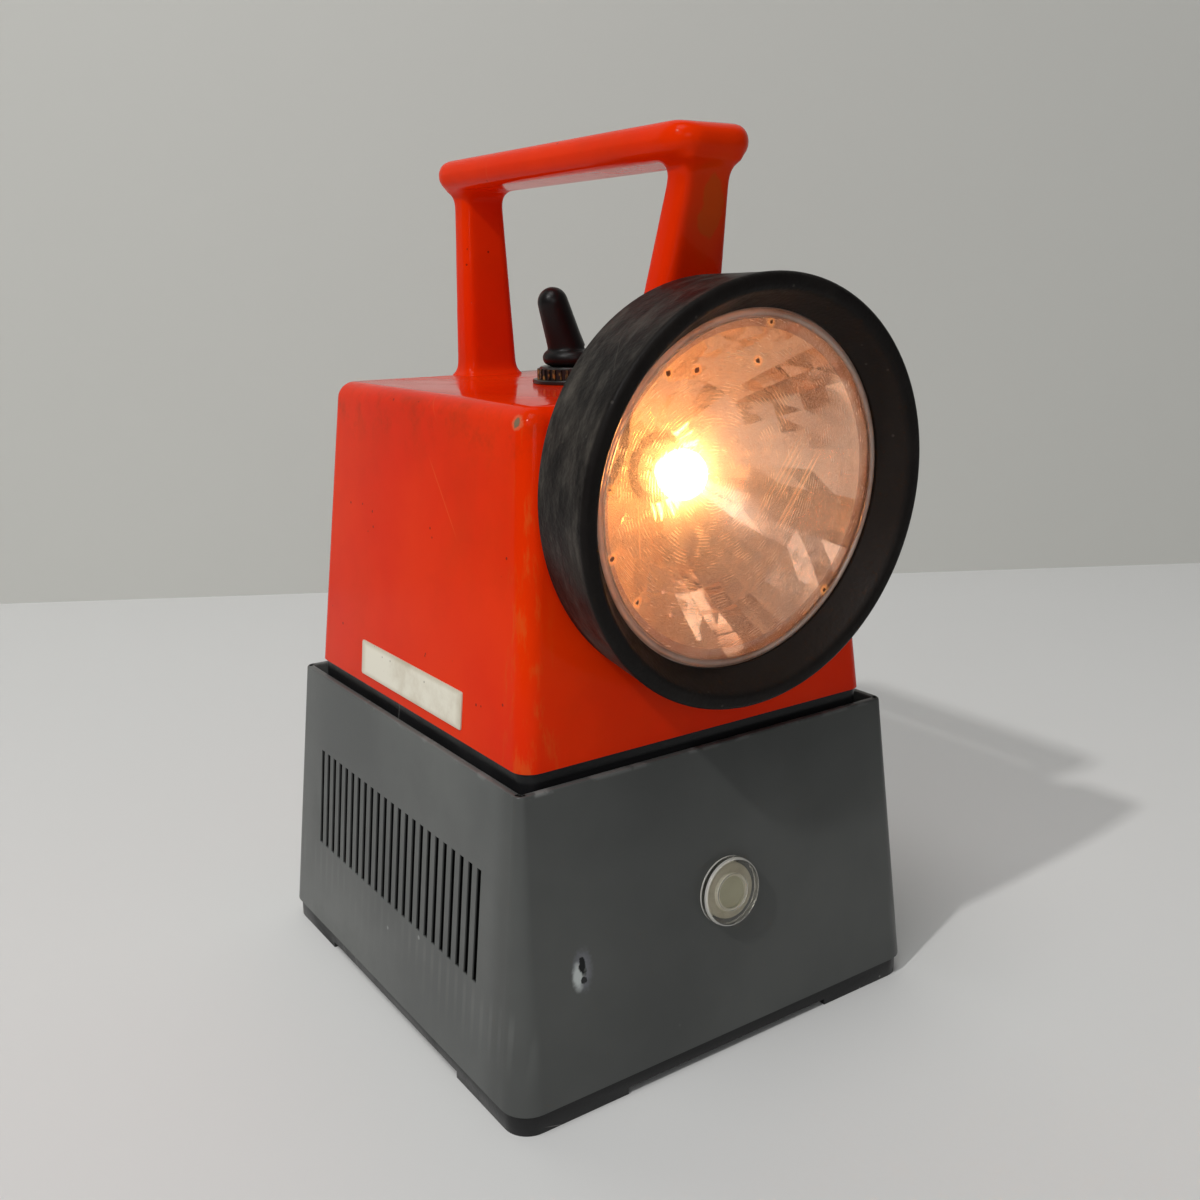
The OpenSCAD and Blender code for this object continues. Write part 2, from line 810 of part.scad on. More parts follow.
cap_x = 11;
cap_y = 6;
cap_groove_z = 3;
cap_groove_r = 0.8;
cap_rim = 1;
cap_dish = 0.5;
module smoothing_capacitor() {
    color([0.15, 0.2, 0.45])
        on_board(cap_x, cap_y)
            rotate_extrude()
                difference() {
                    square([cap_r, cap_h]);
                    translate([cap_r, cap_groove_z])
                        circle(cap_groove_r);
                    translate([0, cap_h - cap_dish])
                        square([cap_r - cap_rim, cap_dish + bite]);
                }
}

fuse_len = 20;
fuse_r = 2.6;
fuse_up = 5;
fuse_y = -14;
clip_w = 5;
clip_t = 0.8;
clip_mouth = 1.2;
module fuse() {
    color([0.85, 0.87, 0.88])
        on_board(0, fuse_y)
            translate([0, 0, fuse_up])
                rotate([0, 90, 0])
                    cylinder(r = fuse_r, h = fuse_len, center = true);
}

module fuse_clips() {
    color("gold")
        on_board(0, fuse_y)
            pair(fuse_len / 2 - clip_w / 2)
                rotate([0, 90, 0])
                    translate([0, 0, -clip_w / 2])
                        linear_extrude(clip_w)
                            difference() {
                                union() {
                                    translate([-fuse_up, 0])
                                        circle(fuse_r + clip_t);
                                    translate([-fuse_up, -fuse_r])
                                        square([fuse_up, 2 * fuse_r]);
                                }
                                translate([-fuse_up, 0])
                                    circle(fuse_r + run_gap);
                                translate([-2 * fuse_up - clip_mouth, -2 * fuse_r])
                                    square([fuse_up, 4 * fuse_r]);
                            }
}

terminal_screw_r = 2.2;
terminal_wire_r = 2;
module terminal_block() {
    pitch = terminal_w / 3;
    placed() color([0.88, 0.87, 0.82])
        translate([gland_x, terminal_y, plate_h + seat_gap])
            difference() {
                translate([-terminal_w / 2, -terminal_d / 2, 0])
                    cube([terminal_w, terminal_d, terminal_h]);
                for (i = [-1 : 1])
                    translate([i * pitch, 0, 0]) {
                        translate([0, 0, terminal_h / 2])
                            cylinder(r = terminal_screw_r, h = terminal_h);
                        translate([0, 0, terminal_h / 2])
                            rotate([90, 0, 0])
                                cylinder(r = terminal_wire_r, h = 2 * terminal_d, center = true);
                    }
            }
}

// Gland with its flange outside the rear wall and its nut inside
gland_flange_out = 2.5;
gland_nut_out = 4;
gland_nut_h = 4;
module cable_gland() {
    placed() color([0.06, 0.06, 0.07])
        on_rear_wall(gland_x, gland_z)
            difference() {
                union() {
                    translate([0, 0, seat_gap])
                        cylinder(r = gland_sleeve_r + gland_flange_out, h = gland_flange);
                    translate([0, 0, -gland_len])
                        cylinder(r = gland_sleeve_r, h = gland_len + bite / 2);
                }
                translate([0, 0, -gland_len - bite])
                    cylinder(r = cable_r, h = gland_len + gland_flange + 3 * bite);
            }
}

module gland_nut() {
    placed() color([0.08, 0.08, 0.09])
        on_rear_wall(gland_x, gland_z)
            translate([0, 0, -shell_wall - seat_gap - gland_nut_h])
                difference() {
                    hexagon(gland_sleeve_r + gland_nut_out, gland_nut_h);
                    translate([0, 0, -bite])
                        cylinder(r = gland_sleeve_r + seat_gap, h = gland_nut_h + 2 * bite);
                }
}

// Clear cap: flange, raised window and a sleeve through the wall
indicator_sleeve_len = 9;
indicator_wall = 1.4;
indicator_bead = 0.5;
indicator_round = 1;
module indicator_cap() {
    step = indicator_h / 2;
    inner = indicator_sleeve_r - indicator_wall;
    placed() color([0.85, 0.87, 0.82, 0.6])
        on_front_wall(0, indicator_z)
            translate([0, 0, seat_gap])
                rotate_extrude()
                    polygon([
                        [0, indicator_h], [indicator_window_r, indicator_h],
                        [indicator_window_r + indicator_bead, indicator_h - indicator_bead],
                        [indicator_r - indicator_round, indicator_h - 1.4 * indicator_bead],
                        [indicator_r, step],
                        [indicator_r, 0], [indicator_sleeve_r, 0],
                        [indicator_sleeve_r, -indicator_sleeve_len], [inner, -indicator_sleeve_len],
                        [inner, step - indicator_bead], [0, step - indicator_bead]]);
}

neon_r = 3;
neon_len = 15;
socket_wall = 1.6;
socket_step = 3;
socket_len = 12;
module indicator_holder() {
    skirt = indicator_sleeve_len - shell_wall;
    wall = socket_wall;
    bulb_bore = neon_r + fit_gap;
    bore = indicator_sleeve_r + run_gap;
    placed() color([0.1, 0.1, 0.1])
        on_front_wall(0, indicator_z)
            translate([0, 0, -shell_wall - seat_gap])
                rotate_extrude()
                    polygon([
                        [bore, 0], [bore + wall, 0], [bore + wall, -skirt - socket_step],
                        [bulb_bore + wall, -skirt - socket_step - wall],
                        [bulb_bore + wall, -skirt - socket_len], [bulb_bore, -skirt - socket_len],
                        [bulb_bore, -skirt - socket_step], [bore, -skirt - socket_step + 1]]);
}

module indicator_lamp() {
    placed() color([0.95, 0.6, 0.3])
        on_front_wall(0, indicator_z)
            translate([0, 0, -indicator_sleeve_len - socket_len]) {
                cylinder(r = neon_r, h = neon_len);
                translate([0, 0, neon_len])
                    sphere(r = neon_r);
            }
}

// Screwed ends of the two spring chambers, each with a soldering tag
module contact_ends() {
    guide_r = chamber_r + guide_wall;
    placed() color([0.8, 0.68, 0.35])
        pair(contact_x)
            translate([0, 0, chamber_z - plug_t - seat_gap]) {
                translate([0, 0, -contact_cap_t])
                    cylinder(r = guide_r, h = contact_cap_t);
                translate([0, 0, -bite])
                    cylinder(r = chamber_r - run_gap, h = plug_t + bite);
                translate([-tab_w / 2, -tab_t / 2, -contact_cap_t - tab_h])
                    cube([tab_w, tab_t, tab_h + bite]);
            }
}

// Coil spring as one swept tube of six sides, eight rings a turn
module coil_spring(mean_r, wire_r, length, turns) {
    sides = 6;
    rings = turns * 8;
    rise = length - 2 * wire_r;
    slope = atan(rise / (turns * 360 * mean_r * PI / 180));
    points = [for (k = [0 : rings]) for (i = [0 : sides - 1])
        let (a = 360 * turns * k / rings)
        let (b = 360 * i / sides)
        let (r = mean_r + wire_r * cos(b))
        let (t = wire_r * sin(b) * sin(slope))
        [r * cos(a) + t * sin(a), r * sin(a) - t * cos(a),
         wire_r + rise * k / rings + wire_r * sin(b) * cos(slope)]];
    walls = [for (k = [0 : rings - 1]) for (i = [0 : sides - 1])
        let (j = (i + 1) % sides)
        let (p = k * sides)
        let (q = p + sides)
        each [[p + i, p + j, q + j], [p + i, q + j, q + i]]];
    first = [for (i = [1 : sides - 2]) [0, i + 1, i]];
    last = [for (i = [1 : sides - 2]) [rings * sides, rings * sides + i, rings * sides + i + 1]];
    polyhedron(points, [for (f = concat(walls, first, last)) [f[0], f[2], f[1]]], convexity = 8);
}

module contact_spring(side) {
    placed() color("lightgray")
        translate([side * contact_x, 0, chamber_z + seat_gap])
            coil_spring(spring_r, spring_wire_r, spring_len - 2 * seat_gap, spring_turns);
}

module contact_spring_left() {
    contact_spring(-1);
}

module contact_spring_right() {
    contact_spring(1);
}

// Sprung pin: rounded head, shaft, collar under the shoulder and a tail in the spring
module contact_plunger(side) {
    tail_len = spring_len - plunger_out - rest_gap;
    placed() color([0.85, 0.7, 0.35])
        translate([side * contact_x, 0, 0]) {
            translate([0, 0, plunger_collar_z])
                cylinder(r = chamber_r - fit_gap, h = collar_t);
            intersection() {
                translate([0, 0, plunger_collar_z])
                    cylinder(r = plunger_r, h = plunger_top - plunger_collar_z);
                translate([0, 0, plunger_top - 3 * plunger_r])
                    sphere(r = 3 * plunger_r);
            }
            translate([0, 0, plunger_collar_z - tail_len])
                cylinder(r = tail_r, h = tail_len + collar_t / 2);
        }
}

module contact_plunger_left() {
    contact_plunger(-1);
}

module contact_plunger_right() {
    contact_plunger(1);
}

// Lamp

// Tapered body with rounded upright corners and a rounded top edge
module lamp_form(inset, z_low, top) {
    round_r = max(lamp_top_r - inset, 0.8);
    loft(concat(
        [lamp_section(z_low, inset)],
        [for (k = [0 : fillet_steps])
            let (a = 90 * k / fillet_steps)
            lamp_section(top - round_r * (1 - sin(a)), inset + round_r * (1 - cos(a)))]));
}

// Point set off square to the reflector's parabola
function bowl_point(rho, off) =
    let (g = rho / (2 * focal), n = sqrt(1 + g * g))
    [rho + off * g / n, apex_s - rho * rho / (4 * focal) + off / n];

// Solid of revolution behind the reflector: front collar and round back
module bowl_form(front, collar, off) {
    steps = 12;
    rho_max = reflector_r - reflector_t;
    back = [for (i = [0 : steps]) bowl_point(rho_max * (1 - i / steps), off)];
    rotate_extrude($fn = 96)
        polygon(concat(
            [[0, front], [collar, front]],
            [for (p = back) if (p[1] > front) p]));
}

module bowl_outer() {
    on_head() {
        bowl_form(bowl_s, bowl_r, bowl_in + bowl_wall);
        translate([0, 0, bowl_s])
            cylinder(r = bowl_r, h = bowl_collar);
    }
}

module lamp_housing() {
    placed() color([0.82, 0.2, 0.06]) {
        difference() {
            union() {
                lamp_form(0, lamp_z0, lamp_z1);
                bowl_outer();
            }
            lamp_form(lamp_wall, lamp_z0 - bite, lamp_z1 - lamp_wall);
            on_head() {
                bowl_form(bowl_s - bite, reflector_r + reflector_t + bowl_gap, bowl_in);
            }
            translate([0, 0, lamp_z1 - 2 * lamp_wall])
                cylinder(r = bushing_r + seat_gap, h = 4 * lamp_wall);
        }
        corners(lamp_post_x, lamp_post_y)
            translate([0, 0, lamp_z0 + seat_gap])
                ring(lamp_post_r, screw_hole_r, lamp_post_z - lamp_z0);
    }
}

// Leg of the handle, from below the lamp top up into the bar
leg_sink = 12;
leg_set = 1.2;
module handle_leg(foot_y, foot_w, foot_t, top_y, toe) {
    steps = 4;
    z0 = lamp_z1 - leg_sink;
    z1 = bar_z0 + bar_t / 3;
    flare_z = bar_z0 - 2 * leg_flare;
    function leg_y(z) = mix(foot_y, top_y, min(1, (z - lamp_z1) / (bar_z0 - lamp_z1)));
    function leg_w(z) = mix(foot_w, leg_top_w, (z - lamp_z1) / (bar_z0 - lamp_z1));
    function leg_t(z) = mix(foot_t, leg_top_t, (z - lamp_z1) / (bar_z0 - lamp_z1));
    function leg_section(z, grow) =
        [z, leg_w(z) + 2 * grow, leg_t(z) + 2 * grow, leg_r + grow, leg_y(z)];
    loft(concat(
        [leg_section(z0, toe), leg_section(lamp_z1, toe)],
        [for (k = [1 : steps])
            let (a = 90 * k / steps)
            leg_section(lamp_z1 + toe * 2 * (1 - cos(a)), toe * (1 - sin(a)))],
        [for (k = [0 : steps])
            let (a = 90 * k / steps)
            leg_section(mix(flare_z, bar_z0, sin(a)), leg_flare * (1 - cos(a)))],
        [leg_section(z1, leg_flare)]));
}

// Flat bar with full-round edges and rounded ends
module handle_bar(y_front, y_rear) {
    steps = 5;
    edge = bar_t / 2 - 0.05;
    function bar_section(t, inset) =
        let (thin = inset * 0.6)
        [t, bar_w - 2 * inset, bar_t - 2 * thin, max(edge - thin, 0.6), 0];
    translate([0, 0, (bar_z0 + bar_z1) / 2])
        rotate([90, 0, 0])
            loft(concat(
                [for (k = [0 : steps])
                    let (a = 90 * k / steps)
                    bar_section(-y_rear + bar_end_r * (1 - cos(a)), bar_end_r * (1 - sin(a)))],
                [for (k = [0 : steps])
                    let (a = 90 * k / steps)
                    bar_section(-y_front - bar_end_r * (1 - sin(a)), bar_end_r * (1 - cos(a)))]));
}

module carry_handle() {
    y_front = -(lamp_d_top / 2 + bar_front);
    y_rear = lamp_d_top / 2 + bar_rear;
    leg_half = leg_top_t / 2 + leg_flare + leg_set;
    placed() color([0.82, 0.2, 0.06])
        difference() {
            union() {
                handle_bar(y_front, y_rear);
                handle_leg(front_leg_in - lamp_d_top / 2, front_leg_w, front_leg_t, y_front + leg_half, seat_gap);
                handle_leg(lamp_d_top / 2 - rear_leg_in, rear_leg_w, rear_leg_t, y_rear - leg_half, leg_toe);
            }
            lamp_form(0, lamp_z0, lamp_z1);
            bowl_outer();
        }
}

// Black tray that closes the housing from below
module base_cover() {
    spigot_z = lamp_z0 + spigot_h;
    sp_w = lamp_width(spigot_z) - 2 * (lamp_wall + fit_gap);
    sp_d = lamp_depth(spigot_z) - 2 * (lamp_wall + fit_gap);
    sp_r = lamp_r - lamp_wall;
    depth = lamp_z0 - cover_z;
    floor_z = cover_z + cover_floor;
    boss_r = lamp_post_r - fit_gap;
    placed() color([0.07, 0.07, 0.08])
        difference() {
            union() {
                difference() {
                    translate([0, 0, cover_z])
                        linear_extrude(depth - seat_gap)
                            plate_2d(cover_w, cover_d, lamp_r - cover_inset);
                    translate([0, 0, floor_z])
                        linear_extrude(depth)
                            plate_2d(cover_w - 2 * cover_wall, cover_d - 2 * cover_wall,
                                     lamp_r - cover_inset - cover_wall);
                }
                difference() {
                    translate([0, 0, lamp_z0 - spigot_h]) {
                        linear_extrude(spigot_h - seat_gap)
                            plate_2d(cover_w - cover_wall, cover_d - cover_wall,
                                     lamp_r - cover_inset - cover_wall / 2);
                        linear_extrude(2 * spigot_h)
                            plate_2d(sp_w, sp_d, sp_r);
                    }
                    translate([0, 0, lamp_z0 - spigot_h - bite])
                        linear_extrude(2 * (spigot_h + bite))
                            plate_2d(sp_w - 2 * spigot_t, sp_d - 2 * spigot_t, sp_r - spigot_t);
                    corners(lamp_post_x, lamp_post_y)
                        translate([0, 0, lamp_z0])
                            cylinder(r = lamp_post_r + fit_gap, h = spigot_h + bite);
                }
                corners(lamp_post_x, lamp_post_y)
                    translate([0, 0, cover_z + bite])
                        cylinder(r = boss_r, h = depth - bite - seat_gap);
                translate([0, 0, cover_z + bite])
                    linear_extrude(depth - bite - seat_gap)
                        intersection() {
                            plate_2d(cover_w - cover_wall, cover_d - cover_wall,
                                     lamp_r - cover_inset - cover_wall / 2);
                            corners(cover_w / 2, cover_d / 2)
                                square([cover_w - 2 * lamp_post_x, cover_d - 2 * lamp_post_y], center = true);
                        }
                translate([0, control_y, floor_z - bite])
                    corners(control_w / 2 - pillar_in, control_d / 2 - pillar_in)
                        cylinder(r = pillar_r, h = pillar_h + bite - seat_gap);
                translate([0, battery_y, floor_z - bite])
                    linear_extrude(pocket_h + bite)
                        difference() {
                            square([battery_w + 2 * (fit_gap + pocket_t),
                                    battery_d + 2 * (fit_gap + pocket_t)], center = true);
                            square([battery_w + 2 * fit_gap, battery_d + 2 * fit_gap], center = true);
                        }
            }
            corners(lamp_post_x, lamp_post_y) {
                translate([0, 0, cover_z - bite])
                    cylinder(r = counter_r, h = depth / 2 + bite);
                translate([0, 0, cover_z])
                    cylinder(r = screw_hole_r, h = depth + bite);
            }
            translate([0, control_y, floor_z])
                corners(control_w / 2 - pillar_in, control_d / 2 - pillar_in)
                    cylinder(r = screw_hole_r, h = pillar_h + bite);
            pair(contact_x) {
                translate([0, 0, cover_z - bite])
                    cylinder(r = pad_r + seat_gap, h = pad_disc_t + seat_gap + bite);
                translate([0, 0, cover_z])
                    cylinder(r = stud_r + seat_gap, h = cover_floor + bite);
            }
        }
}

// Rubber feet under the base cover
module lamp_feet() {
    placed() color([0.12, 0.12, 0.12])
        corners(cover_w / 2 - 3 * lamp_r, cover_d / 2 - 3 * lamp_r)
            translate([0, 0, cover_z - cover_foot])
                cylinder(r = lamp_r, h = cover_foot - seat_gap);
}

module cover_screws() {
    depth = lamp_z0 - cover_z;
    placed() color("silver")
        corners(lamp_post_x, lamp_post_y)
            translate([0, 0, cover_z + depth / 2 - seat_gap])
                mirror([0, 0, 1])
                    screw(depth / 2 + post_screw_bite);
}

// Brass discs flush with the cover's underside, each with a stud and nut inside
module contact_pads() {
    placed() color([0.85, 0.7, 0.35])
        pair(contact_x)
            translate([0, 0, cover_z]) {
                cylinder(r = pad_r, h = pad_disc_t);
                cylinder(r = stud_r, h = cover_floor + stud_len);
                translate([0, 0, cover_floor + seat_gap])
                    hexagon(stud_nut_r, stud_nut_h);
            }
}

module battery() {
    placed() color([0.2, 0.22, 0.25])
        translate([0, battery_y, battery_z + seat_gap]) {
            linear_extrude(battery_h - battery_lid_h)
                plate_2d(battery_w, battery_d, battery_r);
            translate([0, 0, battery_h - battery_lid_h - bite])
                linear_extrude(battery_lid_h + bite)
                    plate_2d(battery_w - 2 * battery_lid_in, battery_d - 2 * battery_lid_in, battery_r);
        }
}

module battery_tabs() {
    placed() color("lightgray")
        translate([0, battery_y, battery_z + battery_h + 2 * seat_gap])
            pair(battery_w / 2 - tab_in)
                difference() {
                    union() {
                        translate([-tab_w / 2, -tab_w / 2, 0])
                            cube([tab_w, tab_w, tab_t]);
                        translate([-tab_t / 2, -tab_w / 2, 0])
                            cube([tab_t, tab_w, tab_h]);
                    }
                    translate([0, 0, tab_h - tab_hole_in])
                        rotate([0, 90, 0])
                            cylinder(r = tab_hole_r, h = tab_w, center = true);
                }
}

module battery_pad() {
    placed() color([0.25, 0.25, 0.25])
        translate([0, battery_y, cover_z + cover_floor + seat_gap])
            linear_extrude(pad_t - seat_gap)
                square([battery_w, battery_d], center = true);
}

module control_board() {
    placed() color([0.2, 0.4, 0.22])
        translate([0, control_y, control_z])
            difference() {
                linear_extrude(board_t)
                    square([control_w, control_d], center = true);
                corners(control_w / 2 - pillar_in, control_d / 2 - pillar_in)
                    translate([0, 0, -bite])
                        cylinder(r = screw_hole_r, h = board_t + 2 * bite);
            }
}

module control_screws() {
    placed() color("silver")
        translate([0, control_y, control_z + board_t + seat_gap])
            corners(control_w / 2 - pillar_in, control_d / 2 - pillar_in)
                screw(board_screw_len);
}

module relay() {
    placed() color([0.9, 0.9, 0.86])
        translate([relay_x, control_y, control_z + board_t + seat_gap])
            linear_extrude(relay_h)
                plate_2d(relay_w, relay_d, relay_r);
}

// Head, all pieces on the tilted axis

// Bowl of flat facets, with a seating flange and a hole for the bulb
module reflector() {
    function row_r(k) = mix(reflector_hole_r, reflector_r, sqrt(k / facet_rows));
    n = facets_round;
    m = facet_rows + 1;
    function side(off) = [for (k = [0 : m - 1]) for (i = [0 : n - 1])
        let (p = bowl_point(row_r(k), off))
        [p[0] * cos(360 * i / n), p[0] * sin(360 * i / n), p[1]]];
    function quads(base, flip) = [for (k = [0 : m - 2]) for (i = [0 : n - 1])
        let (j = (i + 1) % n)
        let (a = base + k * n + i)
        let (b = base + k * n + j)
        flip ? [a, b, b + n, a + n] : [a, a + n, b + n, b]];
    function rim(k, flip) = [for (i = [0 : n - 1])
        let (j = (i + 1) % n)
        let (a = k * n + i)
        let (b = k * n + j)
        flip ? [a, a + m * n, b + m * n, b] : [a, b, b + m * n, a + m * n]];
    placed() color([0.9, 0.88, 0.84])
        on_head() {
            polyhedron(concat(side(0), side(reflector_t)),
                       concat(quads(0, false), quads(m * n, true), rim(0, true), rim(m - 1, false)),
                       convexity = 8);
            translate([0, 0, flange_s])
                ring(lens_r, reflector_r + reflector_t * 0.3, reflector_t);
        }
}

neck_in = 0.8;
neck_deep = 2;
cap_gap = 1;
module bulb() {
    neck_r = bulb_cap_r - neck_in;
    neck_len = bulb_r + cap_gap + neck_deep;
    placed() color([1, 0.95, 0.8, 0.5])
        on_head()
            translate([0, 0, bulb_s])
                rotate_extrude()
                    intersection() {
                        union() {
                            circle(bulb_r);
                            translate([0, 0])
                                square([neck_r, neck_len]);
                        }
                        translate([0, -2 * bulb_r])
                            square([2 * bulb_r, 4 * bulb_r]);
                    }
}

cap_len = 11;
cap_tip_r = 2;
cap_tip_h = 0.5;
cap_cone_h = 1;
module bulb_cap() {
    cap_s = bulb_s + bulb_r + cap_gap;
    neck_r = bulb_cap_r - neck_in;
    neck_len = neck_deep + seat_gap;
    placed() color([0.8, 0.65, 0.3])
        on_head()
            translate([0, 0, cap_s])
                difference() {
                    rotate_extrude()
                        polygon([
                            [0, 0], [bulb_cap_r, 0], [bulb_cap_r, cap_len - cap_cone_h - cap_tip_h],
                            [cap_tip_r, cap_len - cap_tip_h],
                            [cap_tip_r - cap_tip_h, cap_len], [0, cap_len]]);
                    translate([0, 0, -bite])
                        cylinder(r = neck_r + seat_gap, h = neck_len + bite);
                }
}

// Socket that plugs into the reflector from behind and grips the bulb's cap
holder_lip = 2;
holder_flange = 3;
holder_back = 4;
module bulb_holder() {
    cap_s = bulb_s + bulb_r + cap_gap;
    hole = bowl_point(reflector_hole_r, reflector_t);
    flange = hole[1] + seat_gap;
    back = cap_s + cap_len + holder_back;
    placed() color([0.12, 0.12, 0.12])
        on_head()
            rotate_extrude()
                polygon([
                    [bulb_cap_r + run_gap, cap_s + holder_lip], [holder_r - holder_lip, cap_s + holder_lip],
                    [holder_r, flange - holder_lip / 2], [holder_r, flange],
                    [reflector_hole_r + holder_flange, flange],
                    [reflector_hole_r + holder_flange, flange + holder_lip],
                    [holder_r, flange + holder_lip], [holder_r, back], [0, back],
                    [0, cap_s + cap_len + seat_gap], [bulb_cap_r + run_gap, cap_s + cap_len + seat_gap]]);
}

// Crowned disc that stands a step above its flat rim under the bezel's lip
lens_rim_gap = 2.6;
lens_step_share = 0.4;
module lens() {
    steps = 8;
    crown_r = lens_view_r - lens_rim_gap;
    step_h = lens_crown * lens_step_share;
    placed() color([0.9, 0.9, 0.88, 0.3])
        on_head()
            translate([0, 0, lens_s])
                rotate_extrude($fn = 96)
                    polygon(concat(
                        [for (i = [0 : steps])
                            let (t = i / steps)
                            [crown_r * t, -step_h - (lens_crown - step_h) * (1 - t * t)]],
                        [[crown_r, 0], [lens_r, 0], [lens_r, lens_t]],
                        [for (i = [steps : -1 : 0])
                            let (t = i / steps)
                            [(crown_r - lens_t) * t, lens_t - lens_crown * (1 - t * t)]]));
}

module lens_gasket() {
    placed() color([0.1, 0.1, 0.1])
        on_head()
            translate([0, 0, gasket_s])
                ring(lens_r, reflector_r, gasket_t);
}

// Rubber ring: round front edge, inner cone, lip over the lens and a skirt over the bowl
bezel_cone_r = 0.8;
module rubber_bezel() {
    steps = 5;
    rear_s = bezel_rear_y - head_y + bezel_r * sin(2 * head_tilt) + bite;
    bore = bowl_r + seat_gap;
    span = (bezel_rear_y - head_y) / cos(head_tilt);
    function outer_r(s) = mix(bezel_r, bezel_rear_r, s / span);
    cone_round = bezel_cone_r;
    placed() color([0.12, 0.12, 0.12])
        difference() {
            on_head()
                rotate_extrude($fn = 96)
                    polygon(concat(
                        [[lens_view_r, lens_set + lip_t], [lens_view_r, lens_set],
                         [bezel_flat_r, cone_round], [bezel_flat_r + cone_round, 0]],
                        [for (k = [0 : steps])
                            let (a = 90 * k / steps)
                            [bezel_r - bezel_edge_r * (1 - sin(a)), bezel_edge_r * (1 - cos(a))]],
                        [[outer_r(rear_s), rear_s], [bore, rear_s], [bore, lens_set + lip_t]]));
            translate([-2 * bezel_r, bezel_rear_y, head_z - 2 * bezel_r])
                cube(4 * bezel_r);
        }
}

// Toggle switch, heights from the lamp top

module on_top() {
    placed()
        translate([0, 0, lamp_z1])
            children();
}

module switch_body() {
    placed() color([0.3, 0.12, 0.08])
        translate([0, 0, switch_z - seat_gap - switch_h])
            difference() {
                linear_extrude(switch_h)
                    square([switch_w, switch_d], center = true);
                translate([0, 0, switch_h - lever_tail])
                    cylinder(r = bore_r, h = lever_tail + bite);
            }
}

module switch_bushing() {
    low = lamp_wall + lock_h + 2 * seat_gap;
    color("silver")
        on_top()
            translate([0, 0, -low])
                ring(bushing_r, bore_r, low + bushing_top);
}

module switch_lugs() {
    placed() color([0.8, 0.7, 0.4])
        translate([0, 0, switch_z - 2 * seat_gap - switch_h - lug_h])
            pair(switch_w / 2 - lug_w)
                difference() {
                    translate([-lug_w / 2, -lug_t / 2, 0])
                        cube([lug_w, lug_t, lug_h]);
                    translate([0, 0, lug_hole_in])
                        rotate([90, 0, 0])
                            cylinder(r = lug_hole_r, h = lug_w, center = true);
                }
}

module switch_lock_nut() {
    placed() color("silver")
        translate([0, 0, switch_z])
            difference() {
                hexagon(lock_r, lock_h);
                translate([0, 0, -bite])
                    cylinder(r = bushing_r + seat_gap, h = lock_h + 2 * bite);
            }
}

// Nut with a bottom flange, a ridged grip and a thin top ring
module knurled_nut() {
    flange_h = nut_h / 4;
    crown_h = nut_h / 9;
    color([0.14, 0.13, 0.12])
        on_top()
            translate([0, 0, seat_gap])
                difference() {
                    union() {
                        cylinder(r = nut_flange_r, h = flange_h);
                        translate([0, 0, flange_h / 2])
                            linear_extrude(nut_h - crown_h - flange_h / 2)
                                polygon([for (i = [0 : 2 * knurl_count - 1])
                                    let (r = nut_r - knurl_depth * (i % 2))
                                    let (a = 180 * i / knurl_count)
                                    [r * cos(a), r * sin(a)]]);
                        cylinder(r = nut_r - knurl_depth, h = nut_h - seat_gap);
                    }
                    translate([0, 0, -bite])
                        cylinder(r = bushing_r + seat_gap, h = nut_h + 2 * bite);
                }
}

// Round collar of the rubber boot, which stays still
module boot_collar() {
    half = collar_h / 2;
    color([0.09, 0.09, 0.09])
        on_top()
            translate([0, 0, nut_h + seat_gap])
                rotate_extrude()
                    union() {
                        translate([collar_r - half, half])
                            circle(half);
                        translate([collar_bore, 0])
                            square([collar_r - half - collar_bore, collar_h]);
                    }
}

// Lever with its ball in the bushing
module switch_lever() {
    color("silver")
        placed()
            on_lever() {
                sphere(r = ball_r);
                cylinder(r = lever_r, h = lever_len);
                translate([0, 0, -lever_tail])
                    cylinder(r = tail_tip_r, h = lever_tail);
            }
}

// Rubber finger over the lever, which leans with it
module boot_finger() {
    tip = finger_len - finger_tip_r;
    color([0.09, 0.09, 0.09])
        placed()
            on_lever()
                difference() {
                    union() {
                        translate([0, 0, finger_start])
                            cylinder(r1 = finger_r, r2 = finger_tip_r, h = tip - finger_start);
                        translate([0, 0, tip])
                            sphere(r = finger_tip_r);
                    }
                    translate([0, 0, finger_start - bite])
                        cylinder(r = lever_r + seat_gap, h = lever_len - finger_start + seat_gap + bite);
                }
}

charger_shell();
base_plate();
base_screws();
lamp_cradle();
cradle_screws();
transformer_core();
transformer_coil();
transformer_strap();
strap_screws();
charger_board();
board_screws();
rectifier();
smoothing_capacitor();
fuse();
fuse_clips();
terminal_block();
cable_gland();
gland_nut();
indicator_cap();
indicator_holder();
indicator_lamp();
contact_ends();
contact_spring_left();
contact_spring_right();
contact_plunger_left();
contact_plunger_right();
lamp_housing();
carry_handle();
base_cover();
lamp_feet();
cover_screws();
contact_pads();
battery();
battery_tabs();
battery_pad();
control_board();
control_screws();
relay();
reflector();
bulb();
bulb_cap();
bulb_holder();
lens();
lens_gasket();
rubber_bezel();
switch_body();
switch_bushing();
switch_lugs();
switch_lock_nut();
knurled_nut();
boot_collar();
switch_lever();
boot_finger();
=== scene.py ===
"""Looks of a rechargeable inspection lamp that stands in its charger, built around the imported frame."""

import json
from math import asin, atan, cos, pi, radians, sin, sqrt

import bpy
from bpy.props import FloatProperty, FloatVectorProperty, IntProperty, PointerProperty
from mathutils import Matrix, Vector


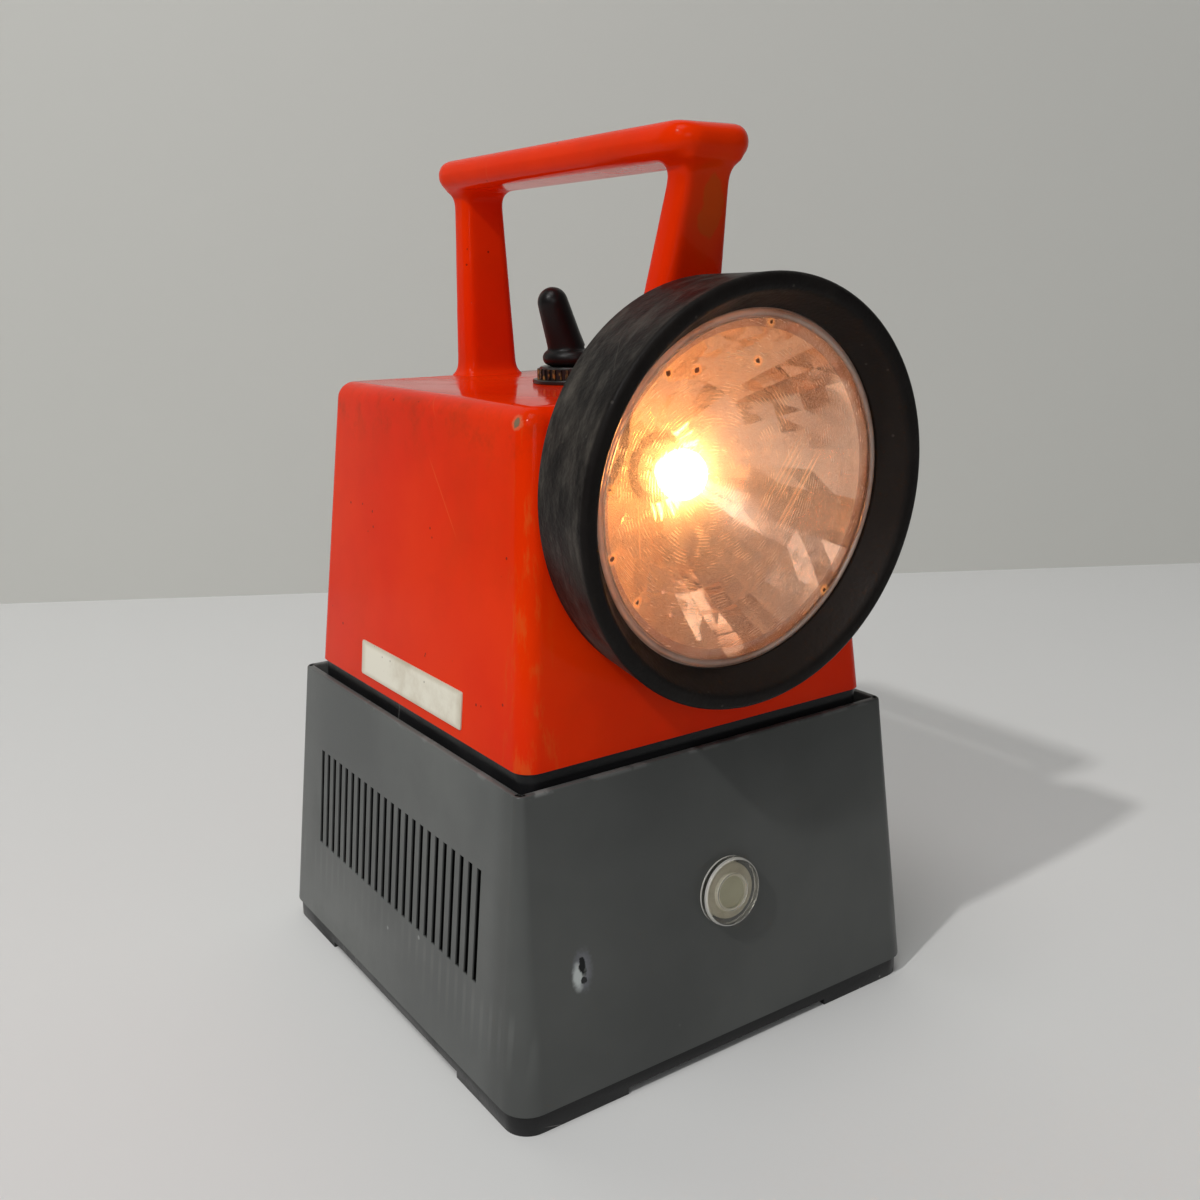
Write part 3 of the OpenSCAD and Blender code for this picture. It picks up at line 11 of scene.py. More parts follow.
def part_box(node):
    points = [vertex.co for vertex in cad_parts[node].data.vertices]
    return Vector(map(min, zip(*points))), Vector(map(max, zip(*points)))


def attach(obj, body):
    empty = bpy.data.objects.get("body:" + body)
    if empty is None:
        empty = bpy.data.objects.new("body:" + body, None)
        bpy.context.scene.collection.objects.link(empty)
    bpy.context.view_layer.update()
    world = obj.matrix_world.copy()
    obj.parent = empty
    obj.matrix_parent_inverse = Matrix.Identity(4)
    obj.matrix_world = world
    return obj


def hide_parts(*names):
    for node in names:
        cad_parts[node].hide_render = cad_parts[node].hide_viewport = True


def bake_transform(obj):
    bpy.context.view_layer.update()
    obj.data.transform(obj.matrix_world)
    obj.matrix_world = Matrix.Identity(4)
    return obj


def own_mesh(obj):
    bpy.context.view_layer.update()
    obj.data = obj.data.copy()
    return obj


bl_info = {
    "name": "Hand Lamp And Charger",
    "version": (1, 0, 0),
    "blender": (4, 5, 0),
    "location": "View3D > Sidebar > Hand Lamp",
    "description": "Models and dresses a rechargeable hand lamp and the charger it stands in",
    "category": "Object",
}

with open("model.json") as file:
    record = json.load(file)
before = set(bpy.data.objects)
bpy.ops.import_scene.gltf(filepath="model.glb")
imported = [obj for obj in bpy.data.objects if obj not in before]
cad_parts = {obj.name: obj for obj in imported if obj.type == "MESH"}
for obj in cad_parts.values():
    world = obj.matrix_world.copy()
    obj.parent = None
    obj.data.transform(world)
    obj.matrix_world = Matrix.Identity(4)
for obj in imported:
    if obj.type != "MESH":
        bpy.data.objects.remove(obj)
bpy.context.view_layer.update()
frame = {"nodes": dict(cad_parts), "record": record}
NODES = frame["nodes"]
MM = 0.001
ORIGIN = (0.0, 0.0, 0.0)
NEAR = 1e-5                # Tolerance for picking what lies in a plane
BOWL_STEPS = 12            # Steps along the reflector's curve, and along the lens
RIM_BACK = 1.25 * MM       # The shell's bowl starts this far behind the reflector's rim
COLLAR_LONG = 11 * MM      # Length of the round collar round the reflector's rim
FINE, MIDDLING, COARSE = 0.0002, 0.0003, 0.0004    # Depths of relief in the finishes


def middle_y(node):
    low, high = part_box(node)
    return (low.y + high.y) / 2


# The lamp and the charger share one upright plane of symmetry, a little behind the origin
MID_Y = middle_y("base_cover")


def tone(red, green, blue):
    """Linear colour of a tone read as 0 to 255."""
    def linear(value):
        value /= 255
        return value / 12.92 if value <= 0.04045 else ((value + 0.055) / 1.055) ** 2.4
    return (linear(red), linear(green), linear(blue), 1.0)


def length(name, text, mm):
    return FloatProperty(name=name, description=text, default=mm * MM, min=0.0, unit="LENGTH", precision=5)


def along(name, text, mm):
    """A place along an axis, which may lie on either side of the origin."""
    return FloatProperty(name=name, description=text, default=mm * MM, unit="LENGTH", precision=5)


def angle(name, text, degrees):
    return FloatProperty(name=name, description=text, default=radians(degrees), subtype="ANGLE",
                         unit="ROTATION")


def count(name, text, number, least):
    return IntProperty(name=name, description=text, default=number, min=least)


def colour(name, text, *rgb):
    return FloatVectorProperty(name=name, description=text, default=tone(*rgb), size=4, min=0.0, max=1.0,
                               subtype="COLOR")


class LampSizes(bpy.types.PropertyGroup):
    """Sizes of the hand lamp."""
    foot_z: length("Foot height", "Height of the shell's lower edge", 98.75)
    body_h: length("Shell height", "Height of the shell", 95)
    width_low: length("Width below", "Width of the shell at its lower edge", 126.4)
    depth_low: length("Depth below", "Depth of the shell at its lower edge", 137.9)
    width_top: length("Width above", "Width of the shell at its top", 108.5)
    depth_top: length("Depth above", "Depth of the shell at its top", 123.3)
    corner: length("Upright corner", "Radius of the upright corners", 5.7)
    top_round: length("Top edge", "Radius of the top edge", 5)
    wall: length("Wall", "Thickness of the shell", 2.6)
    switch_hole: length("Switch hole", "Radius of the hole for the switch", 6.1)
    bar_h: length("Bar height", "Height of the handle above the shell", 70.4)
    bar_width: length("Bar width", "Width of the carrying bar", 27)
    bar_thick: length("Bar thickness", "Thickness of the carrying bar", 9.7)
    bar_front: length("Bar front", "Reach of the bar past the shell in front", 10.4)
    bar_rear: length("Bar rear", "Reach of the bar past the shell behind", 3)
    bar_end: length("Bar end", "Rounding of the bar's ends", 8)
    leg_width: length("Leg width", "Width of the legs under the bar", 15)
    leg_thick: length("Leg thickness", "Thickness of the legs under the bar", 9.4)
    leg_flare: length("Leg flare", "Growth of the legs into the bar", 2.6)
    leg_round: length("Leg corner", "Radius of the legs' corners", 4.2)
    label_width: length("Plate width", "Width of the blank plate", 67.5)
    label_height: length("Plate height", "Height of the blank plate", 11.2)
    label_z: length("Plate place", "Height of the plate's middle", 107.45)


class HeadSizes(bpy.types.PropertyGroup):
    """Sizes of the lamp's head, measured from the front of its rubber ring."""
    front_y: along("Front", "Place of the ring's front middle along Y", -84.856)
    front_z: length("Height", "Height of the ring's front middle", 168.45)
    tilt: angle("Tilt", "Downward tilt of the head", 4)
    ring_r: length("Ring radius", "Outer radius of the rubber ring", 58)
    ring_rear_r: length("Ring rear radius", "Outer radius at the ring's rear", 56)
    ring_rear_y: along("Ring rear", "Plane that trims the ring's rear", -61.31)
    flat_r: length("Flat radius", "Inner radius of the ring's front flat", 53.5)
    view_r: length("View radius", "Radius of the open lens", 48.6)
    lens_r: length("Lens radius", "Outer radius of the lens", 52.6)
    lens_set: length("Lens setting", "Depth of the lens rim", 9.25)
    lens_thick: length("Lens thickness", "Thickness of the lens", 2.6)
    lens_crown: length("Lens crown", "Rise of the lens in its middle", 2)
    bowl_set: length("Bowl setting", "Depth of the reflector's rim", 13.15)
    bowl_r: length("Bowl radius", "Radius of the reflector's rim", 47.3)
    focal: length("Focal length", "Focal length of the reflector", 14.2)
    hole_r: length("Bulb hole", "Radius of the reflector's bulb hole", 11)
    facets: count("Facets", "Facets round the reflector", 40, 8)
    rows: count("Rows", "Rows of facets", 5, 2)


class SwitchSizes(bpy.types.PropertyGroup):
    """Sizes of the toggle switch, measured from the shell's top."""
    pivot: length("Pivot", "Height of the lever's pivot", 4.8)
    lean: angle("Lean", "Lean of the lever at rest", 18.5)
    finger: length("Finger", "Length of the boot's finger from the pivot", 25.6)
    finger_r: length("Finger root", "Radius of the finger at its root", 5.4)
    tip_r: length("Finger tip", "Radius of the finger's tip", 4.7)
    collar_r: length("Collar", "Radius of the boot's collar", 9.2)
    collar_h: length("Collar height", "Height of the boot's collar", 5)
    nut_r: length("Nut", "Radius of the ribbed nut", 11.1)
    nut_flange: length("Nut flange", "Radius of the nut's flange", 12.5)
    nut_h: length("Nut height", "Height of the nut", 5.2)
    ribs: count("Ribs", "Ribs round the nut", 32, 8)


class ChargerSizes(bpy.types.PropertyGroup):
    """Sizes of the charger."""
    foot_z: length("Shell foot", "Height of the shell's lower edge", 6.5)
    rim_z: length("Rim", "Height of the shell's rim", 95.3)
    width_low: length("Width below", "Width at the shell's lower edge", 151.6)
    depth_low: length("Depth below", "Depth at the shell's lower edge", 163.1)
    width_top: length("Width above", "Width at the rim", 134.4)
    depth_top: length("Depth above", "Depth at the rim", 145.9)
    corner_low: length("Corner below", "Radius of the upright corners below", 8.5)
    corner_top: length("Corner above", "Radius of the upright corners above", 2.6)
    wall: length("Wall", "Thickness of the shell", 2.4)
    vents: count("Vents", "Slots in each side", 23, 1)
    vent_pitch: length("Vent pitch", "Distance from slot to slot", 5)
    vent_width: length("Vent width", "Width of a slot", 2.3)
    vent_z: length("Vent foot", "Height of the slots' lower ends", 35.7)
    vent_h: length("Vent height", "Height of the slots", 33.4)
    lamp_z: length("Indicator", "Height of the indicator's middle", 50.9)
    lamp_r: length("Indicator radius", "Radius of the indicator's flange", 10.3)
    window_r: length("Window radius", "Radius of the raised window", 6.4)
    lamp_h: length("Indicator height", "Height of the indicator above the wall", 3.7)
    sleeve_r: length("Sleeve", "Radius of the indicator's sleeve", 7.5)
    spring_wire: length("Spring wire", "Wire radius of the contact springs", 0.4)
    spring_turns: count("Spring turns", "Turns of a contact spring", 5, 2)
    press: length("Contact travel", "How far a contact is pressed down", 1.5)


class Tones(bpy.types.PropertyGroup):
    """Colours of the lamp and of its charger."""
    shell: colour("Lamp shell", "Red-orange of the lamp", 232, 52, 3)
    shell_deep: colour("Lamp shell, deep", "Darker red of the lamp", 222, 40, 2)
    bare: colour("Bare spot", "Under-coat in chips", 122, 106, 84)
    charger: colour("Charger", "Grey of the charger", 102, 104, 102)
    charger_deep: colour("Charger, deep", "Darker grey of the charger", 84, 86, 85)
    scuff: colour("Scuff", "Pale scuffs", 205, 206, 203)
    # Painted shade: near-black for the insides of the slots
    slot: colour("Slots", "Dark inside of the slots", 9, 9, 9)
    black: colour("Black parts", "Black mouldings", 24, 24, 25)
    rubber: colour("Rubber", "Black rubber", 21, 18, 17)
    dust: colour("Dust", "Grey dust on rubber", 88, 83, 77)
    plate: colour("Plate", "Cream of the blank plate", 236, 231, 214)
    plate_worn: colour("Plate, worn", "Yellowed edges of the plate", 158, 134, 98)
    brass: colour("Brass", "Bare brass", 196, 158, 88)
    light: colour("Bulb light", "Warm light of the bulb", 255, 168, 84)
    floor: colour("Floor", "Pale table", 226, 226, 225)
    wall: colour("Wall", "Pale grey wall", 206, 206, 201)


def lamp():
    return bpy.context.scene.hand_lamp


def head():
    return bpy.context.scene.hand_lamp_head


def switch():
    return bpy.context.scene.hand_lamp_switch


def charger():
    return bpy.context.scene.hand_lamp_charger


def tones():
    return bpy.context.scene.hand_lamp_tones


# Modelling steps

def fresh():
    """Leave edit mode and let go of everything."""
    if bpy.context.object and bpy.context.object.mode != "OBJECT":
        bpy.ops.object.mode_set(mode="OBJECT")
    bpy.ops.object.select_all(action="DESELECT")


def use(piece):
    fresh()
    piece.select_set(True)
    bpy.context.view_layer.objects.active = piece
    return piece


def named(name):
    piece = bpy.context.object
    piece.name = name
    piece.data.name = name
    return piece


def edit(piece):
    use(piece)
    bpy.ops.object.mode_set(mode="EDIT")
    bpy.ops.mesh.select_mode(type="VERT")
    bpy.ops.mesh.select_all(action="SELECT")


def pick(piece, kind, test):
    """Select the vertices, edges or faces whose place and direction pass a test, and stay in edit mode."""
    use(piece)
    bpy.ops.object.mode_set(mode="EDIT")
    bpy.ops.mesh.select_mode(type=kind)
    bpy.ops.mesh.select_all(action="DESELECT")
    bpy.ops.object.mode_set(mode="OBJECT")
    mesh = piece.data
    spots = [v.co for v in mesh.vertices]
    if kind == "VERT":
        for v in mesh.vertices:
            v.select = test(v.co)
    elif kind == "EDGE":
        for e in mesh.edges:
            a, b = (spots[i] for i in e.vertices)
            e.select = test((a + b) / 2, (b - a).normalized())
    else:
        for f in mesh.polygons:
            f.select = test(f.center, f.normal)
    bpy.ops.object.mode_set(mode="EDIT")


def turn_out(piece):
    """Merge doubles and point all faces outwards."""
    edit(piece)
    bpy.ops.mesh.remove_doubles(threshold=2e-6)
    bpy.ops.mesh.delete_loose(use_verts=True, use_edges=True, use_faces=False)
    bpy.ops.mesh.select_all(action="SELECT")
    bpy.ops.mesh.normals_make_consistent(inside=False)
    fresh()
    return piece


def raise_rings(steps, size, place):
    """Extrude what is selected from section to section. A section is (height, x size, y size, y place)."""
    w, d = size
    y, z = place
    for nz, nw, nd, ny in steps:
        bpy.ops.mesh.extrude_region_move(
            TRANSFORM_OT_translate={"value": (0, ny - y, nz - z), "orient_type": "GLOBAL"})
        bpy.ops.transform.resize(value=(nw / w, nd / d, 1), center_override=(0, ny, nz))
        w, d, y, z = nw, nd, ny, nz


def turned(name, profile, count=96):
    """Turn a profile of (radius, height) points about Z: a circle, extruded and resized ring by ring."""
    points = [(max(r, 1e-7), z) for r, z in profile]
    r, z = points[0]
    fresh()
    bpy.ops.mesh.primitive_circle_add(vertices=count, radius=r, fill_type="NOTHING", location=(0, 0, 0))
    piece = named(name)
    edit(piece)
    bpy.ops.transform.translate(value=(0, 0, z))
    raise_rings([(b, a, a, 0) for a, b in points[1:]], (r, r), (0, z))
    return turn_out(piece)


def stacked(name, sections, corner, segments=6):
    """Stack rounded rectangles: a plane with its corners rounded, extruded and resized upwards."""
    z, w, d, y = sections[0]
    fresh()
    bpy.ops.mesh.primitive_plane_add(size=1, location=(0, 0, 0))
    piece = named(name)
    edit(piece)
    bpy.ops.transform.resize(value=(w, d, 1), center_override=(0, 0, 0))
    bpy.ops.transform.translate(value=(0, y, z))
    bpy.ops.mesh.bevel(offset=corner, segments=segments, affect="VERTICES")
    bpy.ops.mesh.select_all(action="SELECT")
    raise_rings(sections[1:], (w, d), (y, z))
    return turn_out(piece)


def box_at(name, low, high):
    """A cube pulled to two corners, to cut with or to shape further."""
    fresh()
    bpy.ops.mesh.primitive_cube_add(size=1, location=(0, 0, 0))
    piece = named(name)
    edit(piece)
    bpy.ops.transform.resize(value=[b - a for a, b in zip(low, high)], center_override=(0, 0, 0))
    bpy.ops.transform.translate(value=[(a + b) / 2 for a, b in zip(low, high)])
    fresh()
    return piece


def place(piece, spot=(0, 0, 0), turn=(0, 0, 0)):
    """Move a piece modelled at the origin to its place, and keep the place in its mesh."""
    use(piece)
    piece.location = spot
    piece.rotation_euler = turn
    bpy.ops.object.transform_apply(location=True, rotation=True, scale=True)
    return piece


def modify(piece, kind, **values):
    use(piece)
    step = piece.modifiers.new(kind.title(), kind)
    for key, value in values.items():
        setattr(step, key, value)
    bpy.ops.object.modifier_apply(modifier=step.name)
    return piece


def combine(piece, other, how):
    """Cut another piece away, or fuse it on, and drop it."""
    modify(piece, "BOOLEAN", operation=how, object=other, solver="EXACT")
    bpy.data.objects.remove(other)
    return piece


def level(piece, z):
    """Square a thickened rim to a level plane."""
    pick(piece, "VERT", lambda p: abs(p.z - z) < 0.6 * MM)
    bpy.ops.transform.resize(value=(1, 1, 0), center_override=(0, 0, z))
    fresh()


def joined(pieces):
    fresh()
    for piece in pieces:
        piece.select_set(True)
    bpy.context.view_layer.objects.active = pieces[0]
    bpy.ops.object.join()
    return bpy.context.object


def smooth(piece, degrees=32):
    use(piece)
    bpy.ops.object.shade_smooth_by_angle(angle=radians(degrees))
    return piece


def melted(piece, voxel, rounds):
    """Run fused forms into each other with soft joints."""
    modify(piece, "REMESH", mode="VOXEL", voxel_size=voxel)
    modify(piece, "SMOOTH", factor=0.5, iterations=rounds)
    use(piece)
    bpy.ops.object.shade_smooth()
    return piece


def softened(node, name, width):
    """A copy of a frame node with its loose triangles merged and its sharp edges rounded."""
    piece = bpy.data.objects.new(name, NODES[node].data.copy())
    bpy.context.scene.collection.objects.link(piece)
    edit(piece)
    bpy.ops.mesh.remove_doubles(threshold=1e-6)
    bpy.ops.mesh.dissolve_limited(angle_limit=radians(0.4))
    fresh()
    modify(piece, "BEVEL", width=width, segments=2, limit_method="ANGLE", angle_limit=radians(35))
    return smooth(piece)


def fit(piece, body, finish, slot, *nodes):
    """Dress a finished piece and tie it to the frame."""
    piece.data.materials.clear()
    piece.data.materials.append(finish_of(finish))
    if nodes:
        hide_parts(*nodes)
    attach(piece, body)
    return piece


def edge_finish(piece, finish, test):
    """Give the faces that pass a test a second finish."""
    piece.data.materials.append(finish_of(finish))
    for face in piece.data.polygons:
        face.material_index = int(test(face.center))


def outline(*runs):
    """Profile points: each run is a radius, a height and the steps off that point in millimetres."""
    return [(r + a * MM, z + b * MM) for r, z, *steps in runs for a, b in steps]


def plug(name, radius, half):
    """A round bar about Z, to cut a hole with."""
    return turned(name, [(0, -half), (radius, -half), (radius, half), (0, half)], 48)


def quarter(count):
    return [pi / 2 * k / count for k in range(count + 1)]


def on_head(piece):
    return place(piece, (0, head().front_y, head().front_z), (head().tilt - pi / 2, 0, 0))


def bowl_point(radius, off):
    """Point set off square to the reflector's parabola, as (radius, depth)."""
    h = head()
    slope = radius / (2 * h.focal)
    n = sqrt(1 + slope * slope)
    apex = h.bowl_set + h.bowl_r ** 2 / (4 * h.focal)
    return radius + off * slope / n, apex - radius ** 2 / (4 * h.focal) + off / n


def bowl_collar():
    """Depths between which the bowl has a round collar in front of its curve."""
    rim = head().bowl_set + RIM_BACK
    return rim, rim + COLLAR_LONG


def bowl_curve(off, beyond):
    """Points of the reflector's curve, grown by an offset, that lie deeper than a limit."""
    steps = [head().bowl_r * (1 - k / BOWL_STEPS) for k in range(BOWL_STEPS + 1)]
    return [(r, z) for r, z in (bowl_point(q, off) for q in steps) if z > beyond]


def bowl_form(name, off, reach):
    """Solid body of the reflector's bowl, grown by an offset, with the round collar in front of it."""
    rim, collar = bowl_collar()
    front = rim - 20 * MM
    return on_head(turned(name, [(0, front), (reach, front), (reach, collar)] + bowl_curve(off, collar + MM)))


# Shader steps

def fill(tree, node, sockets):
    """Put constants or links on a node's sockets."""
    for key, value in sockets.items():
        if isinstance(value, Value):
            tree.links.new(value.socket, node.inputs[key])
        else:
            node.inputs[key].default_value = value


def part(tree, kind, sockets=None, **settings):
    """Add a node, with its settings and its sockets."""
    node = tree.nodes.new(kind)
    for key, value in settings.items():
        setattr(node, key, value)
    fill(tree, node, sockets or {})
    return Outputs(tree, node)


class Outputs:
    """What a node puts out, picked by name or number."""

    def __init__(self, tree, node):
        self.tree, self.node = tree, node

    def __getitem__(self, key):
        return Value(self.tree, self.node.outputs[key])


def sums(how):
    """A sum of one value, or of a value and another one."""
    return lambda *values: part(values[0].tree, "ShaderNodeMath", dict(enumerate(values)), operation=how)[0]


class Value:
    """One output of a node. Sums with it are written as for plain numbers, and the bar takes the larger."""

    def __init__(self, tree, socket):
        self.tree, self.socket = tree, socket

    __add__, __sub__, __mul__, __truediv__ = map(sums, ("ADD", "SUBTRACT", "MULTIPLY", "DIVIDE"))
    __or__, __abs__, sine, cosine = map(sums, ("MAXIMUM", "ABSOLUTE", "SINE", "COSINE"))

    def __rsub__(self, other):
        return part(self.tree, "ShaderNodeMath", {0: other, 1: self}, operation="SUBTRACT")[0]

    def held(self):
        """The same sum, held between 0 and 1."""
        self.socket.node.use_clamp = True
        return self

    def span(self, low, high, to_low=0.0, to_high=1.0):
        """A soft step from one value to another."""
        return part(self.tree, "ShaderNodeMapRange", {0: self, 1: low, 2: high, 3: to_low, 4: to_high},
                    interpolation_type="SMOOTHSTEP")[0]

    def between(self, low, high):
        return self.span(0.0, 1.0, low, high)

    def blend(self, a, b):
        return part(self.tree, "ShaderNodeMix", {0: self, 6: a, 7: b}, data_type="RGBA")[2]

    def noise(self, scale, detail=3.0, rough=0.55):
        return part(self.tree, "ShaderNodeTexNoise",
                    {"Vector": self, "Scale": scale, "Detail": detail, "Roughness": rough})[0]

    def vector(self, how, *other):
        made = part(self.tree, "ShaderNodeVectorMath", dict(enumerate((self, *other))), operation=how)
        return made["Value" if how in ("LENGTH", "DISTANCE", "DOT_PRODUCT") else "Vector"]


def effect(name, inputs, outputs, build):
    """A shader node group with named sockets, built once. Its inputs have a number or a vector as default."""
    tree = bpy.data.node_groups.get(name)
    if tree:
        return tree
    tree = bpy.data.node_groups.new(name, "ShaderNodeTree")
    for label, value in inputs.items():
        kind = "NodeSocketFloat" if isinstance(value, float) else "NodeSocketVector"
        tree.interface.new_socket(label, in_out="INPUT", socket_type=kind).default_value = value
    for label in outputs:
        tree.interface.new_socket(label, in_out="OUTPUT", socket_type="NodeSocketFloat")
    given = part(tree, "NodeGroupInput")
    fill(tree, tree.nodes.new("NodeGroupOutput"), build(given))
    return tree


def moulded_grain():
    """Fine moulded grain, and a slow drift of shade."""
    def build(i):
        fine = i["Vector"].noise(i["Scale"], 2.0)
        cell = part(i.tree, "ShaderNodeTexVoronoi", {"Vector": i["Vector"], "Scale": i["Scale"]})
        drift = i["Vector"].noise(i["Drift"], 4.0)
        return {"Height": fine + cell["Distance"] * 0.5, "Shade": drift.span(0.3, 0.7)}
    inputs = {"Vector": ORIGIN, "Scale": 900.0, "Drift": 22.0}
    return effect("Moulded grain", inputs, ["Height", "Shade"], build)


def handling_marks():
    """Short straight scratches, small specks and broad smudges from years of use."""
    def build(i):
        cell = part(i.tree, "ShaderNodeTexVoronoi", {"Vector": i["Vector"], "Scale": i["Scratch Scale"]})
        gap = i["Vector"].vector("SUBTRACT", cell["Position"])
        way = cell["Color"].vector("SUBTRACT", (0.5, 0.5, 0.5)).vector("NORMALIZE")
        side = gap.vector("DOT_PRODUCT", way)
        thin = (abs(side) * i["Scratch Scale"]).span(0.008, 0.002)
        near = cell["Distance"].span(0.42, 0.2)
        few = part(i.tree, "ShaderNodeSeparateColor", {0: cell["Color"]})[1].span(0.6, 0.61)
        dots = part(i.tree, "ShaderNodeTexVoronoi", {"Vector": i["Vector"], "Scale": i["Speck Scale"]})
        dot = dots["Distance"].span(0.14, 0.06)
        draw = part(i.tree, "ShaderNodeSeparateColor", {0: dots["Color"]})[0]
        some = draw.span(1.0 - i["Amount"], 1.01 - i["Amount"])
        broad = i["Vector"].noise(i["Smudge Scale"], 6.0, 0.65).span(0.45, 0.72)
        return {"Scratch": thin * near * few, "Speck": dot * some, "Smudge": broad}
    inputs = {"Vector": ORIGIN, "Amount": 0.08, "Scratch Scale": 60.0, "Speck Scale": 220.0,
              "Smudge Scale": 28.0}
    return effect("Handling marks", inputs, ["Scratch", "Speck", "Smudge"], build)


def knock():
    """One chip or gouge: a ragged core and the ring round it."""
    def build(i):
        gap = i["Vector"].vector("SUBTRACT", i["Centre"])
        gap = gap.vector("DIVIDE", i["Stretch"])
        far = gap.vector("LENGTH") / i["Radius"]
        ragged = far + (i["Vector"].noise(i["Grain"], 2.0) - 0.5) * 1.3
        core = ragged.span(1.0, 0.7)
        ring = ragged.span(i["Reach"], 0.9) * (1.0 - core)
        return {"Core": core, "Ring": ring}
    inputs = {"Vector": ORIGIN, "Centre": ORIGIN, "Radius": 1.5 * MM, "Reach": 2.0,
              "Stretch": (1.0, 1.0, 1.0), "Grain": 700.0}
    return effect("Knock", inputs, ["Core", "Ring"], build)


def spaced(values):
    """Socket names, which have spaces where keywords have underscores."""
    return {key.replace("_", " "): value for key, value in values.items()}


class Finish:
    """A material under construction: its tree, its shader and its object coordinates."""

    def __init__(self, name, **sockets):
        self.made = bpy.data.materials.new(name)
        self.made.use_nodes = True
        self.tree = self.made.node_tree
        self.tree.nodes.clear()
        self.shader = self.tree.nodes.new("ShaderNodeBsdfPrincipled")
        out = self.tree.nodes.new("ShaderNodeOutputMaterial")
        self.tree.links.new(self.shader.outputs[0], out.inputs[0])
        self.spot = part(self.tree, "ShaderNodeTexCoord")["Object"]
        self.set(**sockets)

    def set(self, **sockets):
        fill(self.tree, self.shader, spaced(sockets))

    def group(self, tree, **values):
        return part(self.tree, "ShaderNodeGroup", {"Vector": self.spot, **spaced(values)}, node_tree=tree)

    def grain(self, scale, **values):
        return self.group(moulded_grain(), Scale=scale, **values)

    def marks(self, amount, **values):
        return self.group(handling_marks(), Amount=amount, **values)

    def knock(self, spot, radius, **values):
        """A knock at a place, given with its radius in millimetres."""
        return self.group(knock(), Centre=[x * MM for x in spot], Radius=radius * MM, **values)

    def coat(self, share, shade):
        """Lay a shade over the colour so far, where and as far as the share says."""
        self.body = share.blend(self.body, shade)

    def axis(self, index):
        return part(self.tree, "ShaderNodeSeparateXYZ", {0: self.spot})[index]

    def bump(self, height, strength, distance):
        """Raise the surface by a height, and hand the material over."""
        relief = {"Height": height, "Strength": strength, "Distance": distance}
        self.set(Normal=part(self.tree, "ShaderNodeBump", relief)[0])
        return self.made


def plain(name, light, deep, rough=0.5, metal=0.0, grain=900.0, lift=0.15, wear=None, amount=0.06, **sockets):
    """A moulded, cast or rolled finish: two shades, fine grain, marks and uneven gloss."""
    f = Finish(name, Metallic=metal, **sockets)
    g = f.grain(grain)
    m = f.marks(amount)
    f.body = g["Shade"].blend(deep, light)
    f.coat((m["Scratch"] + m["Speck"]).held() * 0.6, wear or light)
    f.set(Base_Color=f.body, Roughness=m["Smudge"].between(rough - 0.06, rough + 0.1))
    return f.bump(g["Height"], lift, FINE)


def lighter(rgba, k):
    return tuple(min(1.0, c * k) for c in rgba[:3]) + (1.0,)


def shell_paint():
    """Glossy red-orange moulding with chips, specks and rubbed corners."""
    c = tones()
    f = Finish("red_orange_shell", IOR=1.46, Specular_IOR_Level=0.06)
    g = f.grain(700.0, Drift=14.0)
    m = f.marks(0.14, Scratch_Scale=26.0, Speck_Scale=260.0, Smudge_Scale=18.0)
    f.body = g["Shade"].blend(c.shell_deep, c.shell)
    top = lamp().foot_z + lamp().body_h
    grime = f.axis(2).span(top - 22 * MM, top - 6 * MM) * f.axis(2).span(top, top - 2 * MM)
    grime = grime * f.spot.noise(70.0, 7.0, 0.7).span(0.46, 0.7)
    f.coat(grime * 0.4, tone(140, 48, 16))
    f.coat(m["Smudge"] * 0.24, tone(180, 50, 8))
    f.coat(m["Speck"] * 0.8, tone(74, 20, 8))
    f.coat(m["Scratch"] * 0.25, tone(236, 128, 70))
    drawn = f.spot.vector("MULTIPLY", (1, 1, 0.2))
    edge = f.axis(0).span(-49 * MM, -56 * MM) * f.axis(1).span(-46 * MM, -54 * MM)
    edge = edge * drawn.noise(260.0, 5.0, 0.65).span(0.5, 0.66)
    f.coat(edge * 0.35, tone(206, 104, 40))
    chip = f.knock((-54.2, -49.6, 189.8), 1.5, Reach=1.6)
    f.coat(chip["Ring"] * 0.5, tone(206, 130, 92))
    f.coat(chip["Core"], c.bare)
    worn = f.knock((1.4, -58.8, 243), 5.0, Reach=2.2, Stretch=(0.8, 1.0, 2.1), Grain=150.0)
    f.coat((worn["Core"] + worn["Ring"] * 0.3).held() * 0.5, tone(182, 88, 20))
    f.set(Base_Color=f.body, Roughness=m["Smudge"].between(0.1, 0.22) | chip["Core"] * 0.7)
    lift = g["Height"] * 0.05 - (chip["Core"] + m["Speck"])
    return f.bump(lift, 0.25, COARSE)


